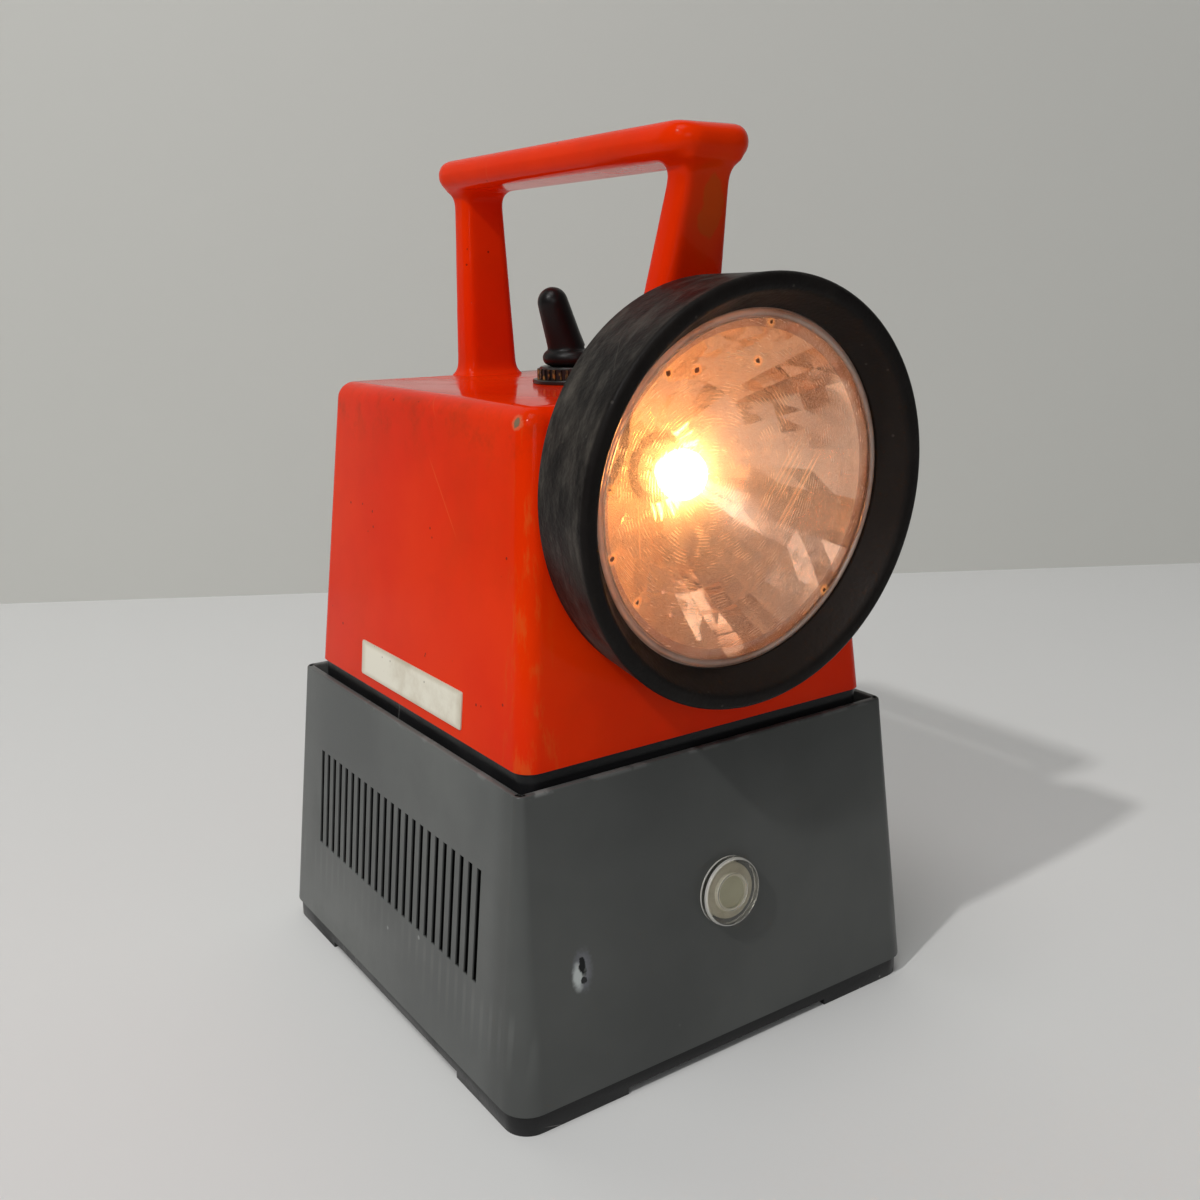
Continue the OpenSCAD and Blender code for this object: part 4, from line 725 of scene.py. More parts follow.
def charger_paint():
    """Fine-grained grey moulding with run marks below the slots, pale scuffs on the rim and one gouge, and
    painted shade on its front face and inside its slots.
    """
    c = tones()
    s = charger()
    f = Finish("grey_charger_shell", IOR=1.46, Specular_IOR_Level=0.2)
    g = f.grain(1100.0, Drift=12.0)
    m = f.marks(0.03, Scratch_Scale=24.0, Speck_Scale=150.0, Smudge_Scale=14.0)
    f.body = g["Shade"].blend(c.charger_deep, c.charger)
    x, y, z = (f.axis(k) for k in range(3))
    # Painted shade: the front face is laid partly towards a darker grey, for the shade it lies in
    f.coat(y.span(MID_Y - 0.06, MID_Y - 0.07, 0.0, 0.45), tone(58, 59, 58))
    comb = ((y - MID_Y) * (2 * pi / s.vent_pitch)).cosine()
    side = abs(x).span(0.066, 0.069)
    low = z.span(0.012, 0.03) * z.span(s.vent_z + 2 * MM, s.vent_z - 6 * MM)
    runs = side * low * comb.span(0.1, 0.9)
    runs = runs * f.spot.noise(60.0, 2.0).span(0.3, 0.6)
    f.coat(runs * 0.2, tone(124, 126, 124))
    corner = x.span(-0.05, -0.066) + y.span(MID_Y - 0.055, MID_Y - 0.07)
    rim = z.span(s.rim_z - 1.3 * MM, s.rim_z - 0.3 * MM) * f.spot.noise(140.0, 5.0).span(0.52, 0.62)
    rim = rim * corner.span(0.6, 2.0, 0.05, 0.2)
    f.coat(rim, c.scuff)
    f.coat(m["Speck"] * 0.3, c.scuff)
    # Painted shade: the slots' walls are laid near-black beyond a fraction of a millimetre in, for the shade
    # inside them
    lean = (s.width_low - s.width_top) / 2 / (s.rim_z - s.foot_z)
    half = s.width_low / 2 - (z - s.foot_z) * lean
    deep = (half - abs(x)).span(0.25 * MM, 0.6 * MM)
    slots = abs(y - MID_Y).span(62 * MM, 60 * MM)
    slots = slots * abs(z - (s.vent_z + s.vent_h / 2)).span(s.vent_h / 2 + MM, s.vent_h / 2)
    f.coat(deep * slots, c.slot)
    bruise = f.knock((-51.6, -70.8, 42.9), 1.5, Reach=2.6, Stretch=(1.0, 1.0, 2.0), Grain=800.0)
    burr = f.knock((-53.2, -70.9, 41.6), 1.2, Reach=2.6, Stretch=(0.75, 1.0, 1.7), Grain=650.0)
    gouge = f.knock((-51.7, -70.7, 44.2), 1.5, Stretch=(0.85, 1.0, 2.0), Grain=600.0)
    pit = f.knock((-51.5, -71.0, 40.0), 1.1)
    f.coat(bruise["Ring"] * 0.3, tone(150, 152, 164))
    f.coat((burr["Core"] + burr["Ring"]).held() * 0.8, tone(196, 202, 200))
    f.coat(pit["Core"], tone(44, 45, 46))
    f.coat(gouge["Core"], tone(26, 27, 28))
    f.set(Base_Color=f.body, Roughness=m["Smudge"].between(0.3, 0.46))
    lift = g["Height"] * 0.15 - gouge["Core"]
    return f.bump(lift, 0.2, COARSE)


def ring_rubber():
    """Dusty black rubber: rubbed grey on its outside, brown in its cone and darker in front."""
    c = tones()
    h = head()
    f = Finish("dusty_rubber", IOR=1.4, Specular_IOR_Level=0.12)
    g = f.grain(800.0, Drift=30.0)
    m = f.marks(0.1, Scratch_Scale=40.0, Speck_Scale=260.0, Smudge_Scale=55.0)
    ahead = f.spot.vector("SUBTRACT", (0, h.front_y, h.front_z))
    deep = ahead.vector("DOT_PRODUCT", (0, cos(h.tilt), sin(h.tilt)))
    away = ahead.vector("MULTIPLY", (1, 0, 1)).vector("LENGTH")
    outside = away.span(h.ring_rear_r - 0.6 * MM, h.ring_rear_r) * deep.span(0.4 * MM, 3 * MM)
    cone = away.span(h.flat_r + 0.5 * MM, h.flat_r - 0.8 * MM) * deep.span(10 * MM, 9 * MM)
    drawn = ahead.vector("MULTIPLY", (1, 3, 1))
    rubbed = drawn.noise(60.0, 7.0, 0.75).span(0.42, 0.7) * 0.6
    rubbed = (rubbed + m["Smudge"] * 0.5).held()
    # The outside also turns lighter grey towards the bottom of the ring
    rubbed = (rubbed + f.axis(2).span(h.front_z - 15 * MM, h.front_z - 45 * MM, 0.0, 0.35)).held()
    f.body = (rubbed * outside.between(0.06, 0.8)).blend(c.rubber, c.dust)
    f.coat(cone * 0.6, tone(40, 33, 29))
    f.coat((m["Speck"] + m["Scratch"]).held() * 0.3, c.dust)
    f.set(Base_Color=f.body, Roughness=m["Smudge"].between(0.42, 0.66))
    return f.bump(g["Height"], 0.3, MIDDLING)


def boot_rubber():
    return plain("boot_rubber", tone(20, 18, 18), tone(11, 10, 10), rough=0.42, grain=700.0, lift=0.15,
                 wear=tone(60, 58, 56), amount=0.04, Specular_IOR_Level=0.22)


# Dirt pits on the lens, in millimetres, and the place on it where the bulb shows brightest
PITS = ((4.5, -80, 213.7), (-19.5, -79.2, 202.7), (-28.2, -79.2, 202.4),
        (-45.3, -77.8, 183.6), (-43.5, -76, 157.1), (-35.2, -75.2, 144.5),
        (31.6, -74.7, 137.6), (0.5, -79.4, 204), (-44.5, -77.5, 175))
HOT_SPOT = (-12 * MM, -77.5 * MM, 174 * MM)


def lens_clear():
    """Clear lens, hazed by wiping, with fine turned scratches and dirt pits near its rim, and painted glints
    of the bulb's light in its scratches and round its pits.
    """
    f = Finish("clear_lens", IOR=1.45, Transmission_Weight=1.0, Emission_Strength=1.0)
    m = f.marks(0.05, Scratch_Scale=34.0, Speck_Scale=260.0, Smudge_Scale=34.0)
    away = f.spot.vector("SUBTRACT", HOT_SPOT).vector("LENGTH")
    swirl = (away * (2 * pi / (0.9 * MM)) + f.spot.noise(60.0, 2.0) * 14.0).sine()
    swirl = swirl.span(0.5, 1.0) * f.spot.noise(240.0, 2.0).span(0.5, 0.66)
    reach = away.span(12 * MM, 34 * MM, 0.55, 0.66)
    frost = (f.spot.noise(16000.0, 0.0) - reach).span(0.0, 0.04)
    haze = frost * m["Smudge"].between(0.4, 0.6)
    pale = (m["Speck"] * 0.6).blend(tone(254, 246, 240), tone(150, 96, 60))
    # Each pit is a dark core in a tinted ring; the rings, the wiping marks and the scratches also give off a
    # little warm light of their own, as painted glints of the bulb's light
    painted_glints = None
    for spot in PITS:
        pit = f.knock(spot, 0.9, Reach=2.3)
        pale = (pit["Ring"] * 0.8).blend(pale, tone(236, 150, 62))
        pale = pit["Core"].blend(pale, tone(58, 28, 14))
        painted_glints = pit["Ring"] if painted_glints is None else painted_glints | pit["Ring"]
    x, z = f.axis(0), f.axis(2)
    along = x * 0.58 + z * 0.815
    across = x * 0.815 - z * 0.58
    lines = part(f.tree, "ShaderNodeCombineXYZ", {0: along * 0.02, 1: across})[0]
    wiped = lines.noise(900.0, 1.0).span(0.6, 0.68)
    wiped = wiped * abs(along - 147 * MM).span(15 * MM, 8 * MM)
    wiped = wiped * abs(across + 87 * MM).span(6 * MM, 2 * MM)
    # Painted glints: thin arcs of the turned scratches near the bright spot
    painted_arcs = swirl * away.span(44 * MM, 12 * MM, 0.0, 0.4)
    swirl = (swirl + wiped).held()
    rough = haze + swirl * 0.3 + 0.03
    painted_glints = (painted_glints * 0.4 + wiped * 0.8).held()
    painted_glints = painted_glints | (painted_arcs | m["Scratch"] * 0.3)
    f.set(Base_Color=pale, Roughness=rough, Emission_Color=painted_glints.blend((0, 0, 0, 1), tone(244, 176, 104)))
    return f.bump(m["Scratch"] + swirl, 0.12, FINE)


def moulded_edge(name, pale, dull):
    """Moulded edge of a clear piece, a little milky."""
    f = Finish(name, IOR=1.45, Transmission_Weight=0.55)
    m = f.marks(0.05, Smudge_Scale=70.0)
    f.body = m["Smudge"].blend(pale, dull)
    f.set(Base_Color=f.body, Roughness=m["Smudge"].between(0.08, 0.2))
    return f.made


def mirror_bowl():
    """Bright metal of the reflector, half polished and half dulled by a fine bloom."""
    f = Finish("reflector_metal", Metallic=1.0)
    m = f.marks(0.05, Smudge_Scale=26.0)
    f.body = (m["Smudge"] * 0.5).blend(tone(244, 228, 212), tone(222, 186, 158))
    bloom = f.spot.noise(15000.0, 0.0).span(0.57, 0.61)
    f.set(Base_Color=f.body, Roughness=bloom.between(0.05, 0.9))
    return f.made


def bulb_glow():
    """Lit bulb: white-hot in its middle, warmer round it."""
    f = Finish("lit_bulb", Roughness=0.2, Emission_Strength=23.0)
    warm = f.spot.noise(60.0, 1.0).blend(tones().light, tone(255, 190, 116))
    f.set(Base_Color=warm, Emission_Color=warm)
    return f.made


def cream_plate():
    """Blank cream plate, yellowed and rubbed towards its edges."""
    c = tones()
    s = lamp()
    f = Finish("cream_plate")
    m = f.marks(0.1, Speck_Scale=320.0, Smudge_Scale=60.0)
    ends = abs(f.axis(1) - (MID_Y - 1.3 * MM)).span(s.label_width * 0.44, s.label_width * 0.5)
    edge = abs(f.axis(2) - s.label_z).span(s.label_height * 0.34, s.label_height * 0.5)
    worn = (ends | edge) * 0.4
    f.body = worn.blend(c.plate, c.plate_worn)
    f.coat(m["Smudge"] * 0.3, c.plate_worn)
    f.coat(m["Speck"] * 0.7, tone(96, 74, 52))
    f.set(Base_Color=f.body, Roughness=m["Smudge"].between(0.4, 0.6))
    return f.bump(m["Smudge"], 0.1, FINE)


def ribbed_brass():
    """Blackened nut, rubbed to brass on its ribs."""
    s = switch()
    f = Finish("blackened_brass", IOR=1.5)
    m = f.marks(0.1, Smudge_Scale=120.0)
    away = f.spot.vector("ADD", (0, -MID_Y, 0)).vector("MULTIPLY", (1, 1, 0)).vector("LENGTH")
    crest = away.span(s.nut_r - 0.5 * MM, s.nut_r - 0.15 * MM)
    crest = crest * away.span(s.nut_r + 0.6 * MM, s.nut_r + 0.3 * MM)
    rubbed = crest * f.spot.noise(420.0, 4.0).span(0.46, 0.7)
    f.set(Base_Color=rubbed.blend(tone(26, 24, 22), tones().brass), Metallic=rubbed,
          Roughness=m["Smudge"].between(0.3, 0.5))
    return f.bump(m["Smudge"], 0.2, FINE)


def cap_clear():
    """Clear cap, frosted by handling towards its rim."""
    s = charger()
    f = Finish("clear_cap", IOR=1.45, Transmission_Weight=1.0)
    m = f.marks(0.06, Smudge_Scale=80.0)
    flat = f.spot.vector("MULTIPLY", (1, 0, 1))
    gap = flat.vector("DISTANCE", (0, 0, s.lamp_z))
    rim = gap.span(s.lamp_r - 1.3 * MM, s.lamp_r - 0.5 * MM, 0.0, 0.06)
    rough = m["Smudge"].between(0.06, 0.16) + rim
    f.set(Base_Color=m["Smudge"].blend(tone(246, 244, 236), tone(232, 228, 214)), Roughness=rough)
    return f.made


def disc_cream():
    """Cream disc with a greenish middle inside a pale ring."""
    s = charger()
    f = Finish("indicator_cream", Specular_IOR_Level=0.3)
    m = f.marks(0.05, Smudge_Scale=120.0)
    gap = f.spot.vector("DISTANCE", (0, -72.0 * MM, s.lamp_z))
    middle = gap.span(4.9 * MM, 4.6 * MM)
    ring = gap.span(4.6 * MM, 4.8 * MM) * gap.span(5.9 * MM, 5.7 * MM)
    f.body = m["Smudge"].blend(tone(208, 202, 186), tone(184, 176, 156))
    f.coat(middle, tone(206, 204, 178))
    f.coat(ring, tone(246, 243, 234))
    f.set(Base_Color=f.body, Roughness=m["Smudge"].between(0.35, 0.5))
    return f.bump(m["Smudge"], 0.1, FINE)


def layered(name, light, deep, axis, pitch, rough, metal, lift):
    """Stacked sheets or wound wire: fine bands along one axis."""
    f = Finish(name, Metallic=metal)
    m = f.marks(0.04)
    wave = (f.axis(axis) * (2 * pi / pitch)).sine()
    share = wave.span(-0.8, 0.8)
    f.body = share.blend(deep, light)
    f.coat(m["Smudge"] * 0.3, deep)
    f.set(Base_Color=f.body, Roughness=m["Smudge"].between(rough, rough + 0.15))
    return f.bump(share, lift, MIDDLING)


def circuit_board():
    """Varnished board with tinned tracks."""
    f = Finish("circuit_board")
    m = f.marks(0.06)
    brick = part(f.tree, "ShaderNodeTexBrick", {"Vector": f.spot, "Scale": 60.0, "Mortar Size": 0.03})["Fac"]
    f.body = m["Smudge"].blend(tone(46, 92, 52), tone(38, 74, 44))
    f.coat(brick * 0.6, tone(120, 140, 92))
    f.set(Base_Color=f.body, Roughness=m["Smudge"].between(0.3, 0.45))
    return f.bump(brick, 0.2, FINE)


FINISHES = {
    "grey_shell": charger_paint,
    "black_plastic": lambda: plain("black_moulding", lighter(tones().black, 1.6), tones().black, rough=0.34,
                                   wear=tone(150, 148, 145), amount=0.1, Specular_IOR_Level=0.3),
    "orange_shell": shell_paint,
    "black_rubber": ring_rubber,
    "boot": boot_rubber,
    "clear_plastic": lens_clear,
    "lens_edge": lambda: moulded_edge("lens_edge", tone(232, 204, 188), tone(206, 168, 146)),
    "cap_edge": lambda: moulded_edge("cap_edge", tone(252, 250, 244), tone(238, 234, 224)),
    "cap": cap_clear,
    "lit_glass": bulb_glow,
    "disc": disc_cream,
    "bulb_glass": cap_clear,
    "bright_metal": mirror_bowl,
    "steel": lambda: plain("zinc_steel", tone(206, 206, 202), tone(170, 171, 170), rough=0.32, metal=1.0,
                           wear=tone(120, 100, 80)),
    "laminations": lambda: layered("core_sheets", tone(110, 110, 113), tone(62, 60, 60), axis=1,
                                   pitch=0.9 * MM, rough=0.4, metal=0.6, lift=0.4),
    "brass": lambda: plain("brass_parts", tones().brass, lighter(tones().brass, 0.6), rough=0.3, metal=1.0,
                           wear=tone(120, 92, 46)),
    "winding": lambda: layered("wound_wire", tone(176, 96, 48), tone(104, 50, 24), axis=2,
                               pitch=0.8 * MM, rough=0.3, metal=0.5, lift=0.6),
    "board": circuit_board,
    "component": lambda: plain("dark_component", tone(48, 50, 60), tone(32, 33, 40), rough=0.4,
                               wear=tone(120, 120, 120)),
    "pale_plastic": lambda: plain("pale_moulding", tone(214, 208, 190), tone(190, 182, 160), rough=0.45,
                                  wear=tone(150, 140, 118)),
    "battery_case": lambda: plain("battery_case", tone(64, 68, 76), tone(48, 51, 58), rough=0.5,
                                  wear=tone(130, 130, 130)),
    "blackened_metal": ribbed_brass,
    "plate": cream_plate,
}
MADE = {}


def finish_of(key):
    if key not in MADE:
        MADE[key] = FINISHES[key]()
    return MADE[key]


# Pieces of the lamp

def lamp_width(z):
    s = lamp()
    return s.width_low + (s.width_top - s.width_low) * (z - s.foot_z) / s.body_h


class HANDLAMP_OT_shell(bpy.types.Operator):
    """Model the lamp's tapered shell with the bowl behind its head"""
    bl_idname = "handlamp.shell"
    bl_label = "Lamp Shell"

    def execute(self, context):
        s, h = lamp(), head()
        top = s.foot_z + s.body_h
        low = (-s.width_low / 2, MID_Y - s.depth_low / 2, s.foot_z)
        shell = box_at("lamp_shell", low, (s.width_low / 2, MID_Y + s.depth_low / 2, top))
        pick(shell, "VERT", lambda p: p.z > top - NEAR)
        taper = (s.width_top / s.width_low, s.depth_top / s.depth_low, 1)
        bpy.ops.transform.resize(value=taper, center_override=(0, MID_Y, top))
        pick(shell, "EDGE", lambda p, d: abs(d.z) > 0.8)
        bpy.ops.mesh.bevel(offset=s.corner, segments=8, affect="EDGES")
        pick(shell, "EDGE", lambda p, d: p.z > top - NEAR)
        bpy.ops.mesh.bevel(offset=s.top_round, segments=8, affect="EDGES")
        pick(shell, "FACE", lambda p, n: n.z < -0.9)
        bpy.ops.mesh.delete(type="FACE")
        turn_out(shell)
        modify(shell, "SOLIDIFY", thickness=s.wall, offset=-1, use_even_offset=True)
        level(shell, s.foot_z)
        rim, collar = bowl_collar()
        inner_r, outer_r = 50.0 * MM, h.lens_r + 0.4 * MM
        inner_off, middle_off, outer_off = 2.7 * MM, 3.9 * MM, 5.1 * MM
        combine(shell, bowl_form("bowl_cut", middle_off, outer_r - 1.2 * MM), "DIFFERENCE")
        front = [(inner_r, rim), (outer_r, rim), (outer_r, collar)]
        inside = bowl_curve(inner_off, rim + MM)[::-1]
        wall = turned("bowl_wall", inside + front + bowl_curve(outer_off, collar + MM))
        combine(shell, on_head(wall), "UNION")
        combine(shell, place(plug("switch_cut", s.switch_hole, 10 * MM), (0, MID_Y, top)), "DIFFERENCE")
        smooth(shell, 28)
        fit(shell, "lamp", "orange_shell", "orange_shell", "lamp_housing")
        return {"FINISHED"}


class HANDLAMP_OT_handle(bpy.types.Operator):
    """Model the carrying bar and its two legs as one soft moulding"""
    bl_idname = "handlamp.handle"
    bl_label = "Carrying Handle"

    def execute(self, context):
        s = lamp()
        top = s.foot_z + s.body_h
        bar_top = top + s.bar_h
        bar_low = bar_top - s.bar_thick
        front = MID_Y - s.depth_top / 2 - s.bar_front
        rear = MID_Y + s.depth_top / 2 + s.bar_rear
        mid = (front + rear) / 2

        def half_bar(name, reach, turn):
            """Half of the bar, from its middle to its rounded end."""
            ends = [(reach - s.bar_end * (1 - sin(a)), s.bar_end * (1 - cos(a))) for a in quarter(6)]
            rings = [(far, s.bar_width - 2 * inset, s.bar_thick - 0.95 * inset, 0)
                     for far, inset in [(-0.5 * MM, 0.0)] + ends]
            half = stacked(name, rings, s.bar_thick * 0.47, 8)
            return place(half, (0, mid, (bar_low + bar_top) / 2), (turn, 0, 0))

        bar = half_bar("carrying_handle", mid - front, pi / 2)
        combine(bar, half_bar("bar_rear", rear - mid, -pi / 2), "UNION")

        def leg(name, foot_y, foot_w, foot_t, top_y, toe):
            """A leg that grows out of the shell with a small toe and flares into the bar."""
            def ring(z, grow):
                k = min(1.0, (z - top) / (bar_low - top))
                return (z, foot_w + (s.leg_width - foot_w) * k + 2 * grow,
                        foot_t + (s.leg_thick - foot_t) * k + 2 * grow, foot_y + (top_y - foot_y) * k)
            rings = [ring(top - 1.5 * MM, toe), ring(top, toe)]
            rings += [ring(top + 2 * toe * (1 - cos(a)), toe * (1 - sin(a))) for a in quarter(4)[1:]]
            flare = bar_low - 2 * s.leg_flare
            rings += [ring(flare + (bar_low - flare) * sin(a), s.leg_flare * (1 - cos(a)))
                      for a in quarter(4)]
            rings.append(ring(bar_low + s.bar_thick / 3, s.leg_flare))
            return stacked(name, rings, s.leg_round)

        half = s.leg_thick / 2 + s.leg_flare + 1.2 * MM
        front_foot = MID_Y - s.depth_top / 2 + 12.4 * MM
        rear_foot = MID_Y + s.depth_top / 2 - 7.5 * MM
        combine(bar, leg("front_leg", front_foot, 25.8 * MM, 13.5 * MM, front + half, toe=0.6 * MM), "UNION")
        combine(bar, leg("rear_leg", rear_foot, 20 * MM, 11.2 * MM, rear - half, toe=2 * MM), "UNION")
        melted(bar, 0.75 * MM, 12)
        combine(bar, bowl_form("bowl_seat", 5.0 * MM, head().lens_r + 0.3 * MM), "DIFFERENCE")
        smooth(bar, 40)
        fit(bar, "lamp", "orange_shell", "orange_shell", "carry_handle")
        return {"FINISHED"}


class HANDLAMP_OT_head(bpy.types.Operator):
    """Model the rubber ring, the lens and the faceted reflector"""
    bl_idname = "handlamp.head"
    bl_label = "Lamp Head"

    def execute(self, context):
        h = head()
        edge = 1.6 * MM
        bore = h.lens_r + 0.45 * MM
        rear = 42 * MM
        slope = (h.ring_r - h.ring_rear_r) / ((h.ring_rear_y - h.front_y) / cos(h.tilt))
        lip = h.lens_set - 0.05 * MM
        profile = outline((h.view_r, lip, (0, 0), (0, -1.1), (0.4, -1.5)),
                          (h.flat_r, 0, (-0.5, 1.6), (0, 0.75), (0.6, 0.2), (1.4, 0)))
        profile += [(h.ring_r - edge * (1 - sin(a)), edge * (1 - cos(a))) for a in quarter(6)]
        profile += [(h.ring_r - slope * z, z) for z in (6 * MM, 14 * MM, rear)]
        profile += [(bore, rear), (bore, lip), (h.view_r, lip)]
        ring = on_head(turned("rubber_ring", profile, 128))
        edit(ring)
        bpy.ops.mesh.bisect(plane_co=(0, h.ring_rear_y, 0), plane_no=(0, 1, 0), clear_outer=True)
        pick(ring, "EDGE", lambda p, d: abs(p.y - h.ring_rear_y) < 1e-6)
        bpy.ops.mesh.bridge_edge_loops()
        turn_out(ring)
        smooth(ring, 40)
        fit(ring, "lamp", "black_rubber", "black_rubber", "rubber_bezel")

        z, t, r = h.lens_set, h.lens_thick, h.view_r - 2.6 * MM
        step = h.lens_crown * 0.4
        n = BOWL_STEPS
        dome = [(r * k / n, z - step - (h.lens_crown - step) * (1 - (k / n) ** 2)) for k in range(n)]
        bead = outline((r, z - step, (-0.25, 0), (-0.05, 0.1), (0, 0.3)),
                       (r, z, (0.1, 0), (0.35, 0), (0.55, -0.45), (0.9, -0.75), (1.3, -0.85), (1.7, -0.75),
                        (2.05, -0.45), (2.25, 0)),
                       (h.lens_r, z, (-0.3, 0), (0, 0.3)), (h.lens_r, z + t, (0, 0)))
        back = [((r - t) * k / n, z + t - h.lens_crown * (1 - (k / n) ** 2)) for k in range(n, -1, -1)]
        lens = turned("front_lens", dome + bead + back, 128)
        fit(smooth(lens, 25), "lamp", "clear_plastic", "clear_plastic", "lens")
        edge_finish(lens, "lens_edge", lambda p: p.xy.length > r)
        on_head(lens)

        rings = [h.hole_r + (h.bowl_r - h.hole_r) * sqrt(k / h.rows) for k in range(h.rows + 1)]
        faces = [bowl_point(q, 0) for q in rings]
        bowl = turned("faceted_reflector", faces[::-1], h.facets)
        edit(bowl)
        bpy.ops.transform.vertex_random(offset=0.2 * MM, uniform=1.0, normal=0.0, seed=4)
        bpy.ops.mesh.normals_make_consistent(inside=True)
        modify(bowl, "SOLIDIFY", thickness=1.0 * MM, offset=-1)
        hold = h.lens_r - 0.2 * MM
        profile = outline((h.bowl_r, h.bowl_set, (0, 0)), (hold, h.bowl_set, (0, 0), (0, 1.1)),
                          (h.bowl_r, h.bowl_set, (0, 1.1), (0, 0)))
        rim = turned("reflector_rim", profile)
        deep = bowl_point(h.hole_r, 0)[1]
        profile = outline((h.hole_r, deep, (0.4, 0.3), (-2.6, 1.2), (-2.6, 1.9), (0.4, 1), (0.4, 0.3)))
        neck = turned("reflector_neck", profile, 64)
        bowl = joined([bowl, rim, neck])
        on_head(bowl)
        fit(bowl, "lamp", "bright_metal", "bright_metal", "reflector")
        return {"FINISHED"}


class HANDLAMP_OT_switch(bpy.types.Operator):
    """Model the rubber boot over the toggle and the ribbed nut under it"""
    bl_idname = "handlamp.switch"
    bl_label = "Toggle Switch"

    def execute(self, context):
        s = switch()
        top = lamp().foot_z + lamp().body_h
        base = s.nut_h + 0.05 * MM
        half = s.collar_h / 2
        inner = 4.6 * MM
        collar = [(s.collar_r - half + half * sin(a), base + half - half * cos(a))
                  for a in [pi * k / 10 for k in range(11)]]
        collar = [(inner, base)] + collar + [(inner, base + s.collar_h), (inner, base)]
        boot = place(turned("switch_boot", collar, 64), (0, MID_Y, top))
        tip = s.finger - s.tip_r
        root = 5.2 * MM
        finger = [(0, root), (s.finger_r + 0.5 * MM, root), (s.finger_r + 0.1 * MM, root + 4 * MM)]
        finger += [(s.tip_r * cos(a), tip + s.tip_r * sin(a)) for a in quarter(8)]
        finger = place(turned("boot_finger_form", finger, 48), (0, MID_Y, top + s.pivot), (0, -s.lean, 0))
        combine(boot, finger, "UNION")
        melted(boot, 0.4 * MM, 5)
        boot.data.materials.append(finish_of("boot"))
        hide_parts("boot_collar", "boot_finger")
        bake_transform(boot)

        flange = 1.3 * MM
        grip = s.nut_r - 0.7 * MM
        hole = 6.1 * MM
        profile = outline((hole, 0, (0, 0.05)), (s.nut_flange, 0, (-0.2, 0.05), (0, 0.25)),
                          (s.nut_flange, flange, (0, -0.3), (-0.3, 0)), (grip, flange, (0, 0)),
                          (grip, s.nut_h, (0, -0.6), (-0.5, -0.05)), (hole, s.nut_h, (0, -0.05)),
                          (hole, 0, (0, 0.05)))
        nut = turned("ribbed_nut", profile, 2 * s.ribs)
        step = pi / s.ribs

        def every_second(p, n):
            """Every second face of the grip."""
            grips = abs(n.z) < 0.3 and flange < p.z < s.nut_h - 0.6 * MM and p.xy.length > grip * 0.9
            return grips and int((p.xy.angle_signed(Vector((1, 0))) + 2 * pi) / step) % 2 == 0

        pick(nut, "FACE", every_second)
        bpy.ops.mesh.inset(thickness=0.12 * MM, depth=0.6 * MM, use_individual=True)
        turn_out(nut)
        place(nut, (0, MID_Y, top))
        fit(smooth(nut, 40), "lamp", "blackened_metal", "blackened_metal", "knurled_nut")
        return {"FINISHED"}


class HANDLAMP_OT_label(bpy.types.Operator):
    """Model the blank cream plate on the lamp's left face"""
    bl_idname = "handlamp.label"
    bl_label = "Blank Plate"

    def execute(self, context):
        s = lamp()
        thick = 0.5 * MM
        w, d = s.label_height, s.label_width
        rings = [(-0.3 * MM, w, d, 0), (thick - 0.15 * MM, w, d, 0), (thick, w - 0.3 * MM, d - 0.3 * MM, 0)]
        plate = stacked("blank_plate", rings, 0.7 * MM, 4)
        lean = atan((s.width_low - s.width_top) / 2 / s.body_h)
        place(plate, (-lamp_width(s.label_z) / 2, MID_Y - 1.3 * MM, s.label_z), (0, lean - pi / 2, 0))
        fit(smooth(plate, 30), "lamp", "plate", "pale_plastic")
        return {"FINISHED"}


# Pieces of the charger

def charger_wall(z):
    """Distance of the charger's front and rear faces from its middle plane, at a height."""
    s = charger()
    return (s.depth_low + (s.depth_top - s.depth_low) * (z - s.foot_z) / (s.rim_z - s.foot_z)) / 2


def charger_lean():
    s = charger()
    return atan((s.depth_low - s.depth_top) / 2 / (s.rim_z - s.foot_z))


def on_charger(piece):
    """Put a piece on the front face, where the indicator is."""
    s = charger()
    return place(piece, (0, MID_Y - charger_wall(s.lamp_z), s.lamp_z), (pi / 2 - charger_lean(), 0, 0))


